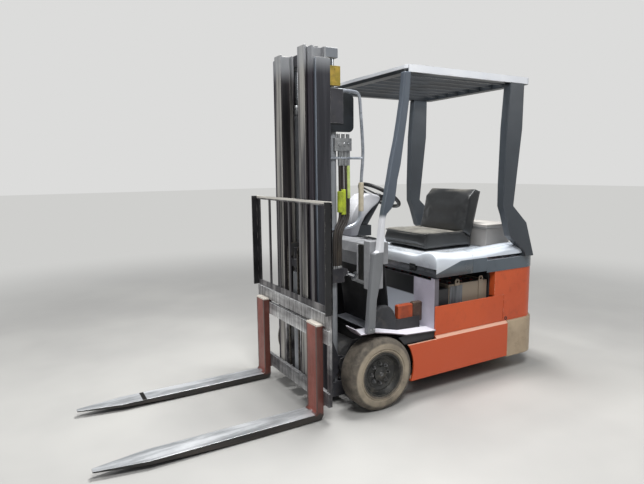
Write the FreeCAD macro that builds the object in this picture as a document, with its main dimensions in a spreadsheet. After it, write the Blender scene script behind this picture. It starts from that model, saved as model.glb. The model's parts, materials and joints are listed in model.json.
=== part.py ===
"""Counterbalanced electric fork truck: three wheels, three-stage mast, overhead guard.

The truck's own frame has x = 0 at the drive axle, +x towards the forks, +y left, +z up, and the
floor at z = 0. The finished pieces are moved along x so that the origin is the middle of the box.
The mast's own frame has its origin on the tilt pivot, with z along the rails.
"""
import FreeCAD, Part
import math
import os

import Sketcher

# Driving sizes in millimetres and degrees: name, value, what it is
SIZES = [
    ("clearance", 5, "gap between pieces that move past each other"),
    ("seat_gap", 0.3, "gap between a piece and what carries it"),
    ("pin_play", 0.05, "radial play of a pin in its bore"),
    # wheels
    ("tyre_radius", 228.5, "drive tyre"),
    ("tyre_width", 155, "drive tyre"),
    ("tyre_shoulder", 24, "rounding of the tread's edges"),
    ("track_half", 447.5, "middle of the drive tyre from the centre line"),
    ("rim_radius", 138, "inside of the drive tyre"),
    ("rim_dish", 34, "depth of the drive wheel's dished face"),
    ("rim_disc", 14, "thickness of the drive wheel's disc"),
    ("hub_radius", 62, "drive hub"),
    ("wheelbase", 1205, "drive axle to the steered pair"),
    ("steer_radius", 165, "steered tyre"),
    ("steer_width", 110, "steered tyre"),
    ("steer_gap", 40, "between the two steered tyres"),
    ("steer_rim_radius", 102, "inside of the steered tyre"),
    ("bay_radius", 216, "steer bay in the counterweight"),
    ("bay_top", 404, "roof of the steer bay"),
    # chassis
    ("side_half", 500, "outer face of the lower frame from the centre line"),
    ("panel_step", 15, "side panels stand back from the lower frame"),
    ("frame_bottom", 130, "lower edge of the frame"),
    ("frame_top", 390, "ledge of the frame"),
    ("ledge", 18, "slope of the ledge"),
    ("plate", 12, "frame plate"),
    ("sill_depth", 60, "width of the sill's flanges"),
    ("arch_radius", 255, "wheel arch about the drive axle"),
    ("bulkhead_x", -445, "front face of the battery box"),
    ("battery_back", -975, "rear end of the battery box"),
    ("seam_x", -1085, "seam between the side panel and the counterweight"),
    ("step_top", 372, "top of the sill under the step"),
    ("base_x", -1120, "front edge of the counterweight's lower corner"),
    ("panel_top", 585, "upper edge of the side panel"),
    ("rear_x", -1455, "rear face"),
    ("rear_round", 150, "rear corner in plan"),
    ("base_bottom", 118, "lower edge of the counterweight"),
    ("case_top", 700, "upper edge of the battery's case"),
    ("weight_top", 762, "top of the counterweight"),
    ("tow_bore", 14, "radius of the tow pin's bore"),
    ("hood_bottom", 776, "lower edge of the hood's skirt"),
    ("hood_crease", 846, "edge between skirt and top of the hood"),
    ("hood_top", 905, "top of the hood under the seat"),
    ("hood_wall", 6, "hood sheet"),
    ("hood_back", -895, "rear end of the hood's wide part"),
    ("tail_half", 402, "half width of the hood between the guard's rear legs"),
    ("hinge_x", -1335, "hood hinge"),
    ("hinge_z", 852, "hood hinge"),
    # floor
    ("floor_z", 424, "floor at the step"),
    ("fender_z", 492, "top of the fender over the drive wheel"),
    ("fender_half", 388, "inner edge of the fender"),
    ("sheet", 10, "floor and fender sheet"),
    # overhead guard
    ("guard_half", 519, "outer face of the guard's legs"),
    ("guard_top", 2080, "top of the roof"),
    ("roof_depth", 42, "height of the roof frame"),
    ("roof_front", -170, "front edge of the roof"),
    ("roof_back", -1240, "rear edge of the roof"),
    ("roof_rail", 62, "width of the roof frame's members"),
    ("leg_depth", 76, "front leg, fore and aft"),
    ("leg_width", 70, "front leg, across"),
    ("rear_leg_width", 60, "rear leg, across"),
    ("bar_height", 22, "roof bar"),
    ("bar_width", 14, "roof bar"),
    # cowl and controls
    ("cowl_gap", 84, "from the front cowl to the guard's leg"),
    ("cowl_low", 880, "lower edge of the front cowl"),
    ("cowl_top", 1035, "top of the front cowl"),
    ("cowl_wall", 8, "cowl moulding"),
    ("wheel_ring", 165, "steering wheel's rim"),
    ("ring_thick", 13, "radius of the rim's section"),
    ("column_x", -345, "middle of the steering wheel"),
    ("column_z", 1295, "middle of the steering wheel"),
    ("column_lean", 32, "slope of the steering wheel's plane"),
    # mast
    ("pivot_x", 142, "mast pivot"),
    ("pivot_z", 260, "mast pivot"),
    ("mast_half", 278, "outer face of the outer rails"),
    ("rail_back", 72, "rear face of the outer rails"),
    ("rail_depth", 96, "rail section, fore and aft"),
    ("flange", 13, "rail flange"),
    ("web", 12, "rail web"),
    ("outer_flange", 52, "width of the outer rail's flanges"),
    ("inner_flange", 38, "width of a flange that carries rollers"),
    ("rail_bottom", -215, "lower end of the outer rails"),
    ("outer_top", 1860, "upper end of the outer rails"),
    ("middle_top", 1925, "upper end of the middle rails"),
    ("inner_top", 1940, "upper end of the inner rails"),
    ("stage_step", 16, "each stage's lower end above the last"),
    ("lift_travel", 1450, "travel of each stage"),
    ("free_travel", 1300, "travel of the carriage on the inner rails"),
    ("lift_bore", 29, "outer radius of a main lift cylinder"),
    ("lift_rod", 19, "rod of a main lift cylinder"),
    ("lift_y", 225, "main lift cylinder from the centre line"),
    ("pipe", 8, "radius of an oil pipe on the mast"),
    ("free_bore", 42, "outer radius of the free-lift cylinder"),
    ("free_rod", 27, "rod of the free-lift cylinder"),
    ("free_top", 560, "upper end of the free-lift cylinder"),
    ("sheave", 46, "chain sheave"),
    ("chain_width", 16, "leaf chain, across"),
    ("chain_thick", 11, "leaf chain, height of a plate"),
    # carriage and forks
    ("carriage_half", 520, "carriage and backrest"),
    ("bar_thick", 26, "carriage bar"),
    ("bar_low", -160, "lower edge of the lower bar"),
    ("bar_tall", 84, "height of a bar"),
    ("bar_high", 300, "upper edge of the upper bar"),
    ("rest_low", 395, "lower member of the load backrest"),
    ("rest_top", 1040, "top of the load backrest"),
    ("fork_length", 1220, "blade from the shank's face to the tip"),
    ("fork_width", 126, "fork"),
    ("fork_thick", 42, "fork"),
    ("fork_y", 375, "middle of a fork from the centre line"),
    ("fork_heel", -255, "underside of the blade"),
    ("fork_top", 330, "top of the shank"),
    ("tip_thick", 9, "tip of the blade"),
    ("tip_taper", 260, "length over which the tip narrows"),
    ("tip_inset", 46, "how far the tip narrows on each side"),
    ("taper_start", 500, "from the shank's face to where the blade thins"),
    ("heel_round", 34, "outside of the heel"),
    ("heel_inside", 20, "inside of the heel"),
    # tilt cylinders
    ("tilt_y", 215, "tilt cylinder from the centre line"),
    ("tilt_pin_x", -44, "pin on the mast"),
    ("tilt_pin_z", 575, "pin on the mast"),
    ("tilt_foot_x", -124, "pin on the chassis"),
    ("tilt_foot_z", 735, "pin on the chassis"),
    ("tilt_bore", 31, "outer radius of the tilt cylinder"),
    ("tilt_rod", 16, "rod of the tilt cylinder"),
    # seat
    ("seat_x", -790, "middle of the seat cushion"),
    ("seat_length", 430, "cushion, fore and aft"),
    ("seat_half", 232, "half width of the cushion"),
    ("seat_low", 915, "underside of the cushion"),
    ("seat_top", 1040, "top of the cushion"),
    ("back_top", 1328, "top of the seat's back"),
    ("deck_half", 330, "half width of the box behind the seat"),
    ("deck_top", 1070, "top of the box behind the seat"),
]


class Size:
    """A number together with the expression on the sheet that gives it."""

    def __init__(self, value, text):
        self.value = float(value)
        self.text = text

    def __add__(self, other):
        other = size(other)
        return Size(self.value + other.value, f"({self.text} + {other.text})")

    def __sub__(self, other):
        other = size(other)
        return Size(self.value - other.value, f"({self.text} - {other.text})")

    def __mul__(self, other):
        other = size(other)
        return Size(self.value * other.value, f"({self.text} * {other.text})")

    def __truediv__(self, other):
        other = size(other)
        return Size(self.value / other.value, f"({self.text} / {other.text})")

    def __radd__(self, other):
        return size(other) + self

    def __rsub__(self, other):
        return size(other) - self

    def __rmul__(self, other):
        return size(other) * self

    def __rtruediv__(self, other):
        return size(other) / self

    def __neg__(self):
        return Size(-self.value, f"(0 - {self.text})")


def size(number):
    """A plain number as a Size; a Size stays as it is."""
    return number if isinstance(number, Size) else Size(number, repr(float(number)))


class Dims:
    """The sheet's aliases as attributes."""


doc = FreeCAD.newDocument("fork_truck")
sheet = doc.addObject("Spreadsheet::Sheet", "dims")
d = Dims()
for row, (alias, value, meaning) in enumerate(SIZES, start=1):
    sheet.set(f"A{row}", alias)
    sheet.set(f"B{row}", str(value))
    sheet.set(f"C{row}", meaning)
    sheet.setAlias(f"B{row}", alias)
    setattr(d, alias, Size(value, f"dims.{alias}"))
doc.recompute()

ZERO = size(0)
nodes = []


def vector(x, y, z):
    return FreeCAD.Vector(size(x).value, size(y).value, size(z).value)


def bind(obj, prop, number):
    """Tie a property to the sheet."""
    obj.setExpression(prop, size(number).text)


def seat(obj, x=0, y=0, z=0):
    """Tie an object's place to the sheet."""
    for letter, number in zip("xyz", (x, y, z)):
        bind(obj, f"Placement.Base.{letter}", number)


# The normals of a body's origin planes: XY up, XZ to the right (-y), YZ forwards
NORMAL = {"XY_Plane": 1, "XZ_Plane": -1, "YZ_Plane": 1}


def sketch_on(body, plane, offset):
    """An empty sketch on a plane of the body's origin, moved to a coordinate along its axis."""
    sketch = body.newObject("Sketcher::SketchObject", "outline")
    support = [f for f in body.Origin.OriginFeatures if f.Role == plane][0]
    sketch.AttachmentSupport = [(support, "")]
    sketch.MapMode = "FlatFace"
    bind(sketch, "AttachmentOffset.Base.z", size(offset) * NORMAL[plane])
    return sketch


def fix_point(sketch, geometry, end, u, v):
    """Hold a point of the sketch at coordinates tied to the sheet."""
    for kind, number in (("DistanceX", u), ("DistanceY", v)):
        index = sketch.addConstraint(Sketcher.Constraint(kind, -1, 1, geometry, end, number.value))
        sketch.setExpression(f"Constraints[{index}]", number.text)


def outline(body, plane, offset, corners):
    """A closed outline of straight lines through corners (u, v)."""
    sketch = sketch_on(body, plane, offset)
    points = [(size(u), size(v)) for u, v in corners]
    for (u0, v0), (u1, v1) in zip(points, points[1:] + points[:1]):
        sketch.addGeometry(Part.LineSegment(vector(u0, v0, 0), vector(u1, v1, 0)))
    for i in range(len(points)):
        sketch.addConstraint(Sketcher.Constraint("Coincident", i, 2, (i + 1) % len(points), 1))
    for i, (u, v) in enumerate(points):
        fix_point(sketch, i, 1, u, v)
    return sketch


def disc(body, plane, offset, u, v, radius):
    """A circle tied to the sheet."""
    sketch = sketch_on(body, plane, offset)
    u, v, radius = size(u), size(v), size(radius)
    circle = Part.Circle(vector(u, v, 0), FreeCAD.Vector(0, 0, 1), radius.value)
    sketch.addGeometry(circle)
    fix_point(sketch, 0, 3, u, v)
    index = sketch.addConstraint(Sketcher.Constraint("Radius", 0, radius.value))
    sketch.setExpression(f"Constraints[{index}]", radius.text)
    return sketch


def new_body(name):
    return doc.addObject("PartDesign::Body", name)


def pad(body, plane, low, high, corners=None, circle=None):
    """Material between two coordinates along the plane's axis."""
    start = low if NORMAL[plane] > 0 else high
    sketch = outline(body, plane, start, corners) if corners else disc(body, plane, start, *circle)
    feature = body.newObject("PartDesign::Pad", "pad")
    feature.Profile = sketch
    bind(feature, "Length", size(high) - low)
    return body


def pocket(body, plane, low, high, corners=None, circle=None):
    """A cut between two coordinates along the plane's axis."""
    start = high if NORMAL[plane] > 0 else low
    sketch = outline(body, plane, start, corners) if corners else disc(body, plane, start, *circle)
    doc.recompute()
    before = body.Shape.Volume
    feature = body.newObject("PartDesign::Pocket", "pocket")
    feature.Profile = sketch
    bind(feature, "Length", size(high) - low)
    doc.recompute()
    if body.Shape.Volume > before - 1:
        raise ValueError(f"{body.Label}: a pocket cuts nothing")
    return body


def turned(name, corners, bore_axis="V_Axis", plane="XY_Plane"):
    """A body of revolution about the plane's own axis; u is the radius, v the place along it."""
    body = new_body(name)
    feature = body.newObject("PartDesign::Revolution", "turned")
    feature.Profile = outline(body, plane, 0, corners)
    feature.ReferenceAxis = (feature.Profile[0], [bore_axis])
    feature.Angle = 360
    return body


def soften(body, radius, choose):
    """Round the edges that choose(middle, direction) picks."""
    doc.recompute()
    names = []
    for i, edge in enumerate(body.Tip.Shape.Edges, start=1):
        middle = edge.valueAt((edge.FirstParameter + edge.LastParameter) / 2)
        along = edge.tangentAt((edge.FirstParameter + edge.LastParameter) / 2)
        if choose(middle, along):
            names.append(f"Edge{i}")
    if not names:
        raise ValueError(f"{body.Label}: no edge to round")
    feature = body.newObject("PartDesign::Fillet", "rounding")
    feature.Base = (body.Tip if body.Tip != feature else feature.BaseFeature, names)
    bind(feature, "Radius", radius)
    return body


def prism(name, plane, low, high, corners):
    return pad(new_body(name), plane, low, high, corners)


def block(name, x, y, z):
    """A box between pairs of coordinates."""
    box = doc.addObject("Part::Box", name)
    for prop, (low, high) in zip(("Length", "Width", "Height"), (x, y, z)):
        bind(box, prop, size(high) - low)
    seat(box, x[0], y[0], z[0])
    return box


def rod(name, axis, start, radius, length):
    """A cylinder from a start point along x, y or z."""
    cylinder = doc.addObject("Part::Cylinder", name)
    bind(cylinder, "Radius", radius)
    bind(cylinder, "Height", length)
    turn = {"x": ((0, 1, 0), 90), "y": ((1, 0, 0), -90), "z": ((0, 0, 1), 0)}[axis]
    cylinder.Placement.Rotation = FreeCAD.Rotation(FreeCAD.Vector(*turn[0]), turn[1])
    seat(cylinder, *start)
    return cylinder


def fuse(name, *parts):
    joined = doc.addObject("Part::MultiFuse", name)
    joined.Shapes = list(parts)
    joined.Refine = True
    return joined


def cut(name, base, tool):
    result = doc.addObject("Part::Cut", name)
    result.Base = base
    result.Tool = tool
    return result


def mirrored(part):
    """The right-hand twin of a left-hand piece."""
    twin = doc.addObject("Part::Mirroring", part.Name + "_right")
    twin.Source = part
    twin.Normal = FreeCAD.Vector(0, 1, 0)
    return twin


def together(name, *parts):
    group = doc.addObject("Part::Compound", name)
    group.Links = list(parts)
    return group


# The middle of the whole truck
tip_x = d.rail_back + d.rail_depth + 2 * (d.flange + d.clearance) + d.clearance
tip_x = tip_x + d.bar_thick + d.fork_thick + d.fork_length
shift = -(d.pivot_x + tip_x + d.rear_x) / 2


def keep(name, part, frame="truck", x=0, y=0, z=0):
    """Name a finished piece and put it in its place in the truck's or the mast's frame."""
    part.Label = name
    x, y, z = size(x), size(y), size(z)
    if frame == "mast":
        seat(part, d.pivot_x + shift + x, y, d.pivot_z + z)
    else:
        seat(part, shift + x, y, z)
    nodes.append(part)


# Wheels: each is turned about its own axle, which lies across the truck
def drive_wheel(side, hand):
    half = d.tyre_width / 2
    r, bore, round_ = d.tyre_radius, d.rim_radius, d.tyre_shoulder
    tread = turned(f"tyre_{side}", [(bore, -half), (r - round_, -half), (r, round_ - half),
                                    (r, half - round_),
                                    (r - round_, half), (bore, half)])
    keep(f"drive_tyre_{side}", tread, x=0, y=d.track_half * hand, z=r)
    dish = half - d.rim_dish
    disc_back = dish - d.rim_disc
    barrel = bore - 12
    edge = half - 8
    shell = turned(f"rim_{side}", [(0, hand * disc_back), (0, hand * (dish + 14)),
                                   (d.hub_radius, hand * (dish + 14)),
                                   (d.hub_radius, hand * dish), (barrel - 10, hand * dish),
                                   (bore - 6, hand * edge),
                                   (bore, hand * edge), (bore, -hand * edge), (barrel, -hand * edge),
                                   (barrel, hand * disc_back)])
    keep(f"drive_rim_{side}", shell, x=0, y=d.track_half * hand, z=r)


for side, hand in (("left", 1), ("right", -1)):
    drive_wheel(side, hand)

# Drive axle between the wheels: brake drums at the ends of a gear housing
axle_end = d.track_half + d.tyre_width / 2 - d.rim_dish - d.rim_disc - d.seat_gap
drum = d.track_half - d.tyre_width / 2
drum_radius = 118
drum_depth = 62
axle_tube = 82
case_half = 130
case_radius = 112
shaft = 52
axle = turned("axle", [(0, -axle_end), (shaft, -axle_end), (shaft, -drum), (drum_radius, -drum),
                       (drum_radius, drum_depth - drum), (axle_tube, drum_depth - drum),
                       (axle_tube, -case_half),
                       (case_radius, 30 - case_half), (case_radius, case_half - 30), (axle_tube, case_half),
                       (axle_tube, drum - drum_depth), (drum_radius, drum - drum_depth),
                       (drum_radius, drum),
                       (shaft, drum), (shaft, axle_end), (0, axle_end)])
keep("drive_axle", axle, z=d.tyre_radius)
cheek_out = 302
motor_radius = 105
motor_x = -(drum_radius + motor_radius + d.clearance)
motor_half = cheek_out - d.plate - d.seat_gap
motor = rod("motor", "y", (0, -motor_half, 0), motor_radius, motor_half * 2)
keep("drive_motor", together("motor_place", motor), x=motor_x, z=d.tyre_radius + 60)

# Lower frame: channel sills with the wheel arch, floor plate and cross walls
side_in = d.side_half - d.panel_step
sill = prism("sill", "YZ_Plane", d.base_x, -205, [
    (d.side_half, d.frame_bottom), (d.side_half, d.frame_top - d.ledge), (side_in, d.frame_top),
    (d.side_half - d.sill_depth, d.frame_top), (d.side_half - d.sill_depth, d.frame_top - d.plate),
    (side_in - 5, d.frame_top - d.plate), (d.side_half - d.plate, d.frame_top - d.ledge - 5),
    (d.side_half - d.plate, d.frame_bottom + d.plate), (d.side_half - d.sill_depth,
                                                        d.frame_bottom + d.plate),
    (d.side_half - d.sill_depth, d.frame_bottom)])
sill_in = d.side_half - d.sill_depth
pocket(sill, "XZ_Plane", sill_in - 1, d.side_half + 1,
       [(d.bulkhead_x, d.step_top), (0, d.step_top), (0, d.frame_top + 9), (d.bulkhead_x, d.frame_top + 9)])
pocket(sill, "XZ_Plane", sill_in - 1, d.side_half + 1, circle=(0, d.tyre_radius, d.arch_radius))
keep("frame_sills", together("sills", sill, mirrored(sill)))

box_back = d.battery_back - d.plate
tray = block("tray", (box_back, d.bulkhead_x + 60), (-sill_in, sill_in),
                    (d.frame_bottom, d.frame_bottom + d.plate))
rear_wall = block("rear_wall", (box_back, d.battery_back), (-sill_in, sill_in),
                  (d.frame_bottom + d.plate, d.weight_top - 20))
cheek = prism("cheek", "XZ_Plane", cheek_out - d.plate, cheek_out, [
    (d.bulkhead_x, d.frame_bottom + d.plate), (-150, d.frame_bottom + d.plate), (-60, 112), (70, 112),
            (d.pivot_x - 10, d.pivot_z - 48),
    (d.pivot_x + 30, d.pivot_z - 36), (d.pivot_x + 44, d.pivot_z), (d.pivot_x + 30, d.pivot_z + 36),
    (d.pivot_x - 10, d.pivot_z + 48), (80, d.floor_z - 20), (-120, d.floor_z - d.sheet),
    (d.bulkhead_x, d.floor_z - d.sheet)])
pivot_pin = 20
pocket(cheek, "XZ_Plane", cheek_out - d.plate - 1, cheek_out + 1,
       circle=(0, d.tyre_radius, axle_tube + d.seat_gap))
pocket(cheek, "XZ_Plane", cheek_out - d.plate - 1, cheek_out + 1,
       circle=(d.pivot_x, d.pivot_z, pivot_pin + d.pin_play))
keep("frame_box", fuse("welded_frame", tray, rear_wall, cheek, mirrored(cheek)))
wall_half = sill_in - d.seat_gap
bulkhead = block("front_wall", (d.bulkhead_x - d.plate, d.bulkhead_x), (-wall_half, wall_half),
                 (d.frame_bottom + d.plate, d.hood_bottom - 24))
post = block("post", (d.bulkhead_x - 36, d.bulkhead_x), (wall_half - 1, side_in - d.plate - d.seat_gap),
             (d.frame_top + d.seat_gap, d.hood_bottom - 10))
keep("battery_bulkhead", fuse("bulkhead", bulkhead, post, mirrored(post)))

# Side panels and battery
panel = block("panel", (d.seam_x + 2, d.bulkhead_x), (side_in - d.plate, side_in),
              (d.frame_top + d.seat_gap, d.panel_top))
keep("side_panels", together("panels", panel, mirrored(panel)))
case_front = d.bulkhead_x - 160
case_half = sill_in - 6
case_low = d.frame_bottom + d.plate
case = prism("case", "XY_Plane", case_low, d.case_top, [
    (d.battery_back + 12, -case_half), (case_front, -case_half), (case_front, case_half),
                                                        (d.battery_back + 12, case_half)])
pocket(case, "XY_Plane", d.case_top - 22, d.case_top + 1, [
    (d.battery_back + 24, 12 - case_half), (case_front - 12, 12 - case_half),
            (case_front - 12, case_half - 12),
    (d.battery_back + 24, case_half - 12)])
# Straps with a lifting eye at the top of the case's sides: place along the case
for strap_x in (-0.3, 0.3):
    middle = (d.battery_back + case_front) / 2 + (case_front - d.battery_back) * strap_x
    for hand in (1, -1):
        outer, inner = (case_half - 1) * hand, (case_half + 5) * hand
        low_y, high_y = (outer, inner) if hand > 0 else (inner, outer)
        pad(case, "XZ_Plane", low_y, high_y, [(middle - 20, case_low + 60), (middle + 20, case_low + 60),
                                              (middle + 20, d.case_top + 24),
                                              (middle + 12, d.case_top + 34),
                                              (middle - 12, d.case_top + 34),
                                              (middle - 20, d.case_top + 24)])
        pocket(case, "XZ_Plane", low_y - 1, high_y + 1, circle=(middle, d.case_top + 16, 9))
keep("battery_case", case)
spacer = block("spacer", (case_front, d.bulkhead_x - 16), (-case_half, case_half),
               (case_low, d.case_top - 22))
keep("battery_spacer", together("battery_front", spacer))

# Counterweight: upper casting, and the lower corners round the steer bay
weight_front = d.battery_back - 15
steer_x = -d.wheelbase
rear_in = d.rear_x + d.panel_step
weight = prism("weight", "XY_Plane", d.frame_top, d.panel_top,
               [(rear_in, -side_in), (d.seam_x, -side_in), (d.seam_x, side_in), (rear_in, side_in)])
pad(weight, "XY_Plane", d.panel_top, d.weight_top,
    [(rear_in, -side_in), (weight_front, -side_in), (weight_front, side_in), (rear_in, side_in)])
soften(weight, d.rear_round - d.panel_step, lambda m, t: abs(t.z) > 0.9 and m.x < rear_in.value + 1)
pocket(weight, "XY_Plane", d.frame_top - 1, d.bay_top, circle=(steer_x, 0, d.bay_radius))
pocket(weight, "XY_Plane", d.bay_top - 1, d.bay_top + 40, circle=(steer_x, 0, 30 + d.pin_play))
tow_x = rear_in + 40
# Slot for the drawbar and recess for the pin's head: low, high, half width, depth
tow_cuts = ((452, 520, 50, 75), (550, 640, 45, 70))
for low, high, half, depth in tow_cuts:
    pocket(weight, "XZ_Plane", -half, half, [(rear_in - 1, low), (rear_in + depth, low),
                                             (rear_in + depth, high),
                                             (rear_in - 1, high)])
pocket(weight, "XY_Plane", d.bay_top - 1, tow_cuts[1][0] + 1, circle=(tow_x, 0, d.tow_bore))
keep("counterweight", weight)

base = prism("base", "XY_Plane", d.base_bottom, d.frame_top,
             [(d.rear_x, -d.side_half), (d.base_x, -d.side_half), (d.base_x, d.side_half),
              (d.rear_x, d.side_half)])
soften(base, d.rear_round, lambda m, t: abs(t.z) > 0.9 and m.x < d.rear_x.value + 1)
pocket(base, "XY_Plane", d.base_bottom - 1, d.frame_top + 1, circle=(steer_x, 0, d.bay_radius))
keep("counterweight_base", base)

# Steered pair under the counterweight
turntable = rod("turntable", "z", (0, 0, d.bay_top - 32), 95, 32 - d.seat_gap)
kingpin = rod("kingpin", "z", (0, 0, d.bay_top - 10), 30, 44)
steer_leg = block("steer_leg", (-42, 42), (-14, 14), (d.steer_radius, d.bay_top - 20))
steer_boss = rod("steer_boss", "y", (0, -14, d.steer_radius), 42, 28)
steer_shaft = 22
steer_axle = rod("steer_axle", "y", (0, -118, d.steer_radius), steer_shaft, 236)
bracket = fuse("steer_fork", turntable, kingpin, steer_leg, steer_boss, steer_axle)
keep("steer_bracket", bracket, x=steer_x)


def steered(name, corners):
    near = turned(name, corners)
    return together(name + "_pair", near, mirrored(near))


y0 = d.steer_gap / 2
y1 = y0 + d.steer_width
sr = d.steer_radius
sb = d.steer_rim_radius
tyres = steered("steer_tyre", [(sb, y0), (sr, y0), (sr, y1), (sb, y1)])
keep("steer_tyres", tyres, x=steer_x, z=sr)
rim_in = sb - 12
bearing = steer_shaft + d.pin_play
rims = steered("steer_rim", [(bearing, y0 + 4), (sb, y0 + 4), (sb, y1 - 4), (rim_in, y1 - 4),
                             (rim_in, y0 + 60),
                             (bearing, y0 + 60)])
keep("steer_rims", rims, x=steer_x, z=sr)

# Floor, fenders and steps
fender = prism("fender", "XZ_Plane", d.fender_half, side_in + 8, [
    (d.bulkhead_x, d.floor_z), (-200, d.floor_z + 12), (-60, d.fender_z - 22), (45, d.fender_z),
            (150, d.fender_z),
    (192, d.fender_z + 44), (186, d.fender_z + 50), (144, d.fender_z + 10), (43, d.fender_z + 10),
    (-62, d.fender_z - 12), (-202, d.floor_z + 22), (d.bulkhead_x, d.floor_z + 10)])
keep("fenders", together("fender_pair", fender, mirrored(fender)))
deck_half = d.fender_half - d.seat_gap
deck_front = -190
toe_half = 330
deck = prism("deck", "XY_Plane", d.floor_z - d.sheet, d.floor_z, [
    (d.bulkhead_x, -deck_half), (deck_front, -deck_half), (deck_front, -toe_half), (-90, -toe_half),
    (-90, toe_half), (deck_front, toe_half), (deck_front, deck_half), (d.bulkhead_x, deck_half)])
step = prism("step", "XZ_Plane", side_in - 20, side_in - 8, [
    (d.bulkhead_x, d.step_top), (-196, d.step_top), (-150, d.floor_z + 2), (-200, d.floor_z + 11),
    (d.bulkhead_x, d.floor_z - 1)])
keep("step_panels", together("step_pair", step, mirrored(step)))
cowl_low = d.cowl_low
cowl_half = d.guard_half - d.leg_width - d.cowl_gap
toe = prism("toe", "XZ_Plane", -toe_half, toe_half, [
    (deck_front - 10, d.floor_z - 1), (deck_front, d.floor_z - 1), (-140, cowl_low), (-150, cowl_low)])
keep("floor_board", fuse("bent_floor", deck, toe))
anchor_sides = []
for name, low in (("anchor_in", d.tilt_y - 20), ("anchor_out", d.tilt_y + 8)):
    anchor_sides.append(prism(name, "XZ_Plane", low, low + 12, [
        (-180, d.floor_z), (d.tilt_foot_x + 30, d.floor_z), (d.tilt_foot_x + 26, d.tilt_foot_z + 10),
        (d.tilt_foot_x, d.tilt_foot_z + 26), (d.tilt_foot_x - 18, d.tilt_foot_z + 10)]))
foot_pin = rod("foot_pin", "y", (d.tilt_foot_x, d.tilt_y - 20, d.tilt_foot_z), 12, 40)
anchor = fuse("anchor", *anchor_sides, foot_pin)
keep("tilt_anchors", together("anchors", anchor, mirrored(anchor)))

# Front cowl, dash and steering column
cowl_line = [(-150, cowl_low), (40, cowl_low), (52, d.cowl_top - 70), (34, d.cowl_top - 12),
             (-20, d.cowl_top),
             (-150, d.cowl_top - 16)]
cowl = prism("cowl", "XZ_Plane", -cowl_half, cowl_half, cowl_line)
pocket(cowl, "XZ_Plane", d.cowl_wall - cowl_half, cowl_half - d.cowl_wall, [
    (-142, cowl_low - 1), (32, cowl_low - 1), (44, d.cowl_top - 72), (28, d.cowl_top - 20),
            (-20, d.cowl_top - 8),
    (-142, d.cowl_top - 24)])
keep("front_cowl", cowl)
lean = d.column_lean
ring_corners = []
for step in range(4):
    turn = math.radians(90 * step)
    ring_corners.append((d.wheel_ring - d.ring_thick + d.ring_thick * math.cos(turn),
                         d.ring_thick * math.sin(turn)))
ring = turned("ring", ring_corners, plane="XZ_Plane")
hub = rod("hub", "z", (0, 0, -34), 36, 44)
spokes = []
for number, angle in enumerate((90, 210, 330)):
    spoke = doc.addObject("Part::Box", f"spoke{number}")
    bind(spoke, "Length", d.wheel_ring - d.ring_thick * 2 + 6)
    bind(spoke, "Width", 30)
    bind(spoke, "Height", 7)
    turn = FreeCAD.Rotation(FreeCAD.Vector(0, 0, 1), angle)
    spoke.Placement = FreeCAD.Placement(turn.multVec(FreeCAD.Vector(0, -15, -4)), turn)
    spokes.append(spoke)
handwheel = fuse("handwheel", ring, hub, *spokes)
handwheel.Placement.Rotation = FreeCAD.Rotation(FreeCAD.Vector(0, -1, 0), 32)
bind(handwheel, "Placement.Rotation.Angle", lean)
keep("steering_wheel", handwheel, x=d.column_x, z=d.column_z)
cover_top = -34 - d.seat_gap
column = prism("column", "XZ_Plane", -84, 84, [(-40, cover_top), (-62, -200), (-70, -420), (120, -420),
                                               (70, -200),
                                               (40, cover_top)])
soften(column, 24, lambda m, t: abs(t.y) < 0.1 and abs(m.y) > 80 and m.z < cover_top.value - 5)
column.Placement.Rotation = FreeCAD.Rotation(FreeCAD.Vector(0, -1, 0), 32)
bind(column, "Placement.Rotation.Angle", lean)
seat(column, d.column_x, 0, d.column_z)
cowl_block = prism("cowl_block", "XZ_Plane", -cowl_half, cowl_half, cowl_line)
keep("steering_column", cut("column_cover", column, cowl_block))

# Pedals hang from the toe board, and levers stand on a box beside the column
stem_top = d.floor_z + 230
toe_slope = 50 / (cowl_low - d.floor_z + 1)
stem_front = deck_front - 10 + toe_slope * (stem_top - d.floor_z + 1) - d.seat_gap
pedal_pads = []
for name, y, half in (("brake", -60, 40), ("drive", -190, 28)):
    pedal_pads.append(prism(name + "_pedal", "XZ_Plane", y - half, y + half, [
        (-232, d.floor_z + 64), (-226, d.floor_z + 60), (-206, d.floor_z + 140), (-212, d.floor_z + 144)]))
    pedal_pads.append(prism(name + "_stem", "XZ_Plane", y - 8, y + 8, [
        (-224, d.floor_z + 88), (-216, d.floor_z + 88), (stem_front, stem_top),
                (stem_front - 12, stem_top)]))
brake, brake_stem, drive, drive_stem = pedal_pads
keep("pedals", together("pedal_pair", fuse("brake_set", brake, brake_stem),
                        fuse("drive_set", drive, drive_stem)))
lever_box = prism("lever_box", "XZ_Plane", -300, -150, [
    (-142, d.cowl_top - 15), (-25, d.cowl_top + d.seat_gap), (-25, d.cowl_top + 34),
                                                        (-120, d.cowl_top + 44),
    (-142, d.cowl_top + 30)])
levers = []
for number, y in enumerate((-276, -242, -208, -174)):
    stem = block(f"lever_stem{number}", (-86, -74), (y - 6, y + 6), (d.cowl_top + 36, d.cowl_top + 152))
    knob = block(f"lever_knob{number}", (-94, -66), (y - 14, y + 14), (d.cowl_top + 150, d.cowl_top + 184))
    levers += [stem, knob]
keep("hydraulic_levers", fuse("lever_set", lever_box, *levers))

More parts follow.
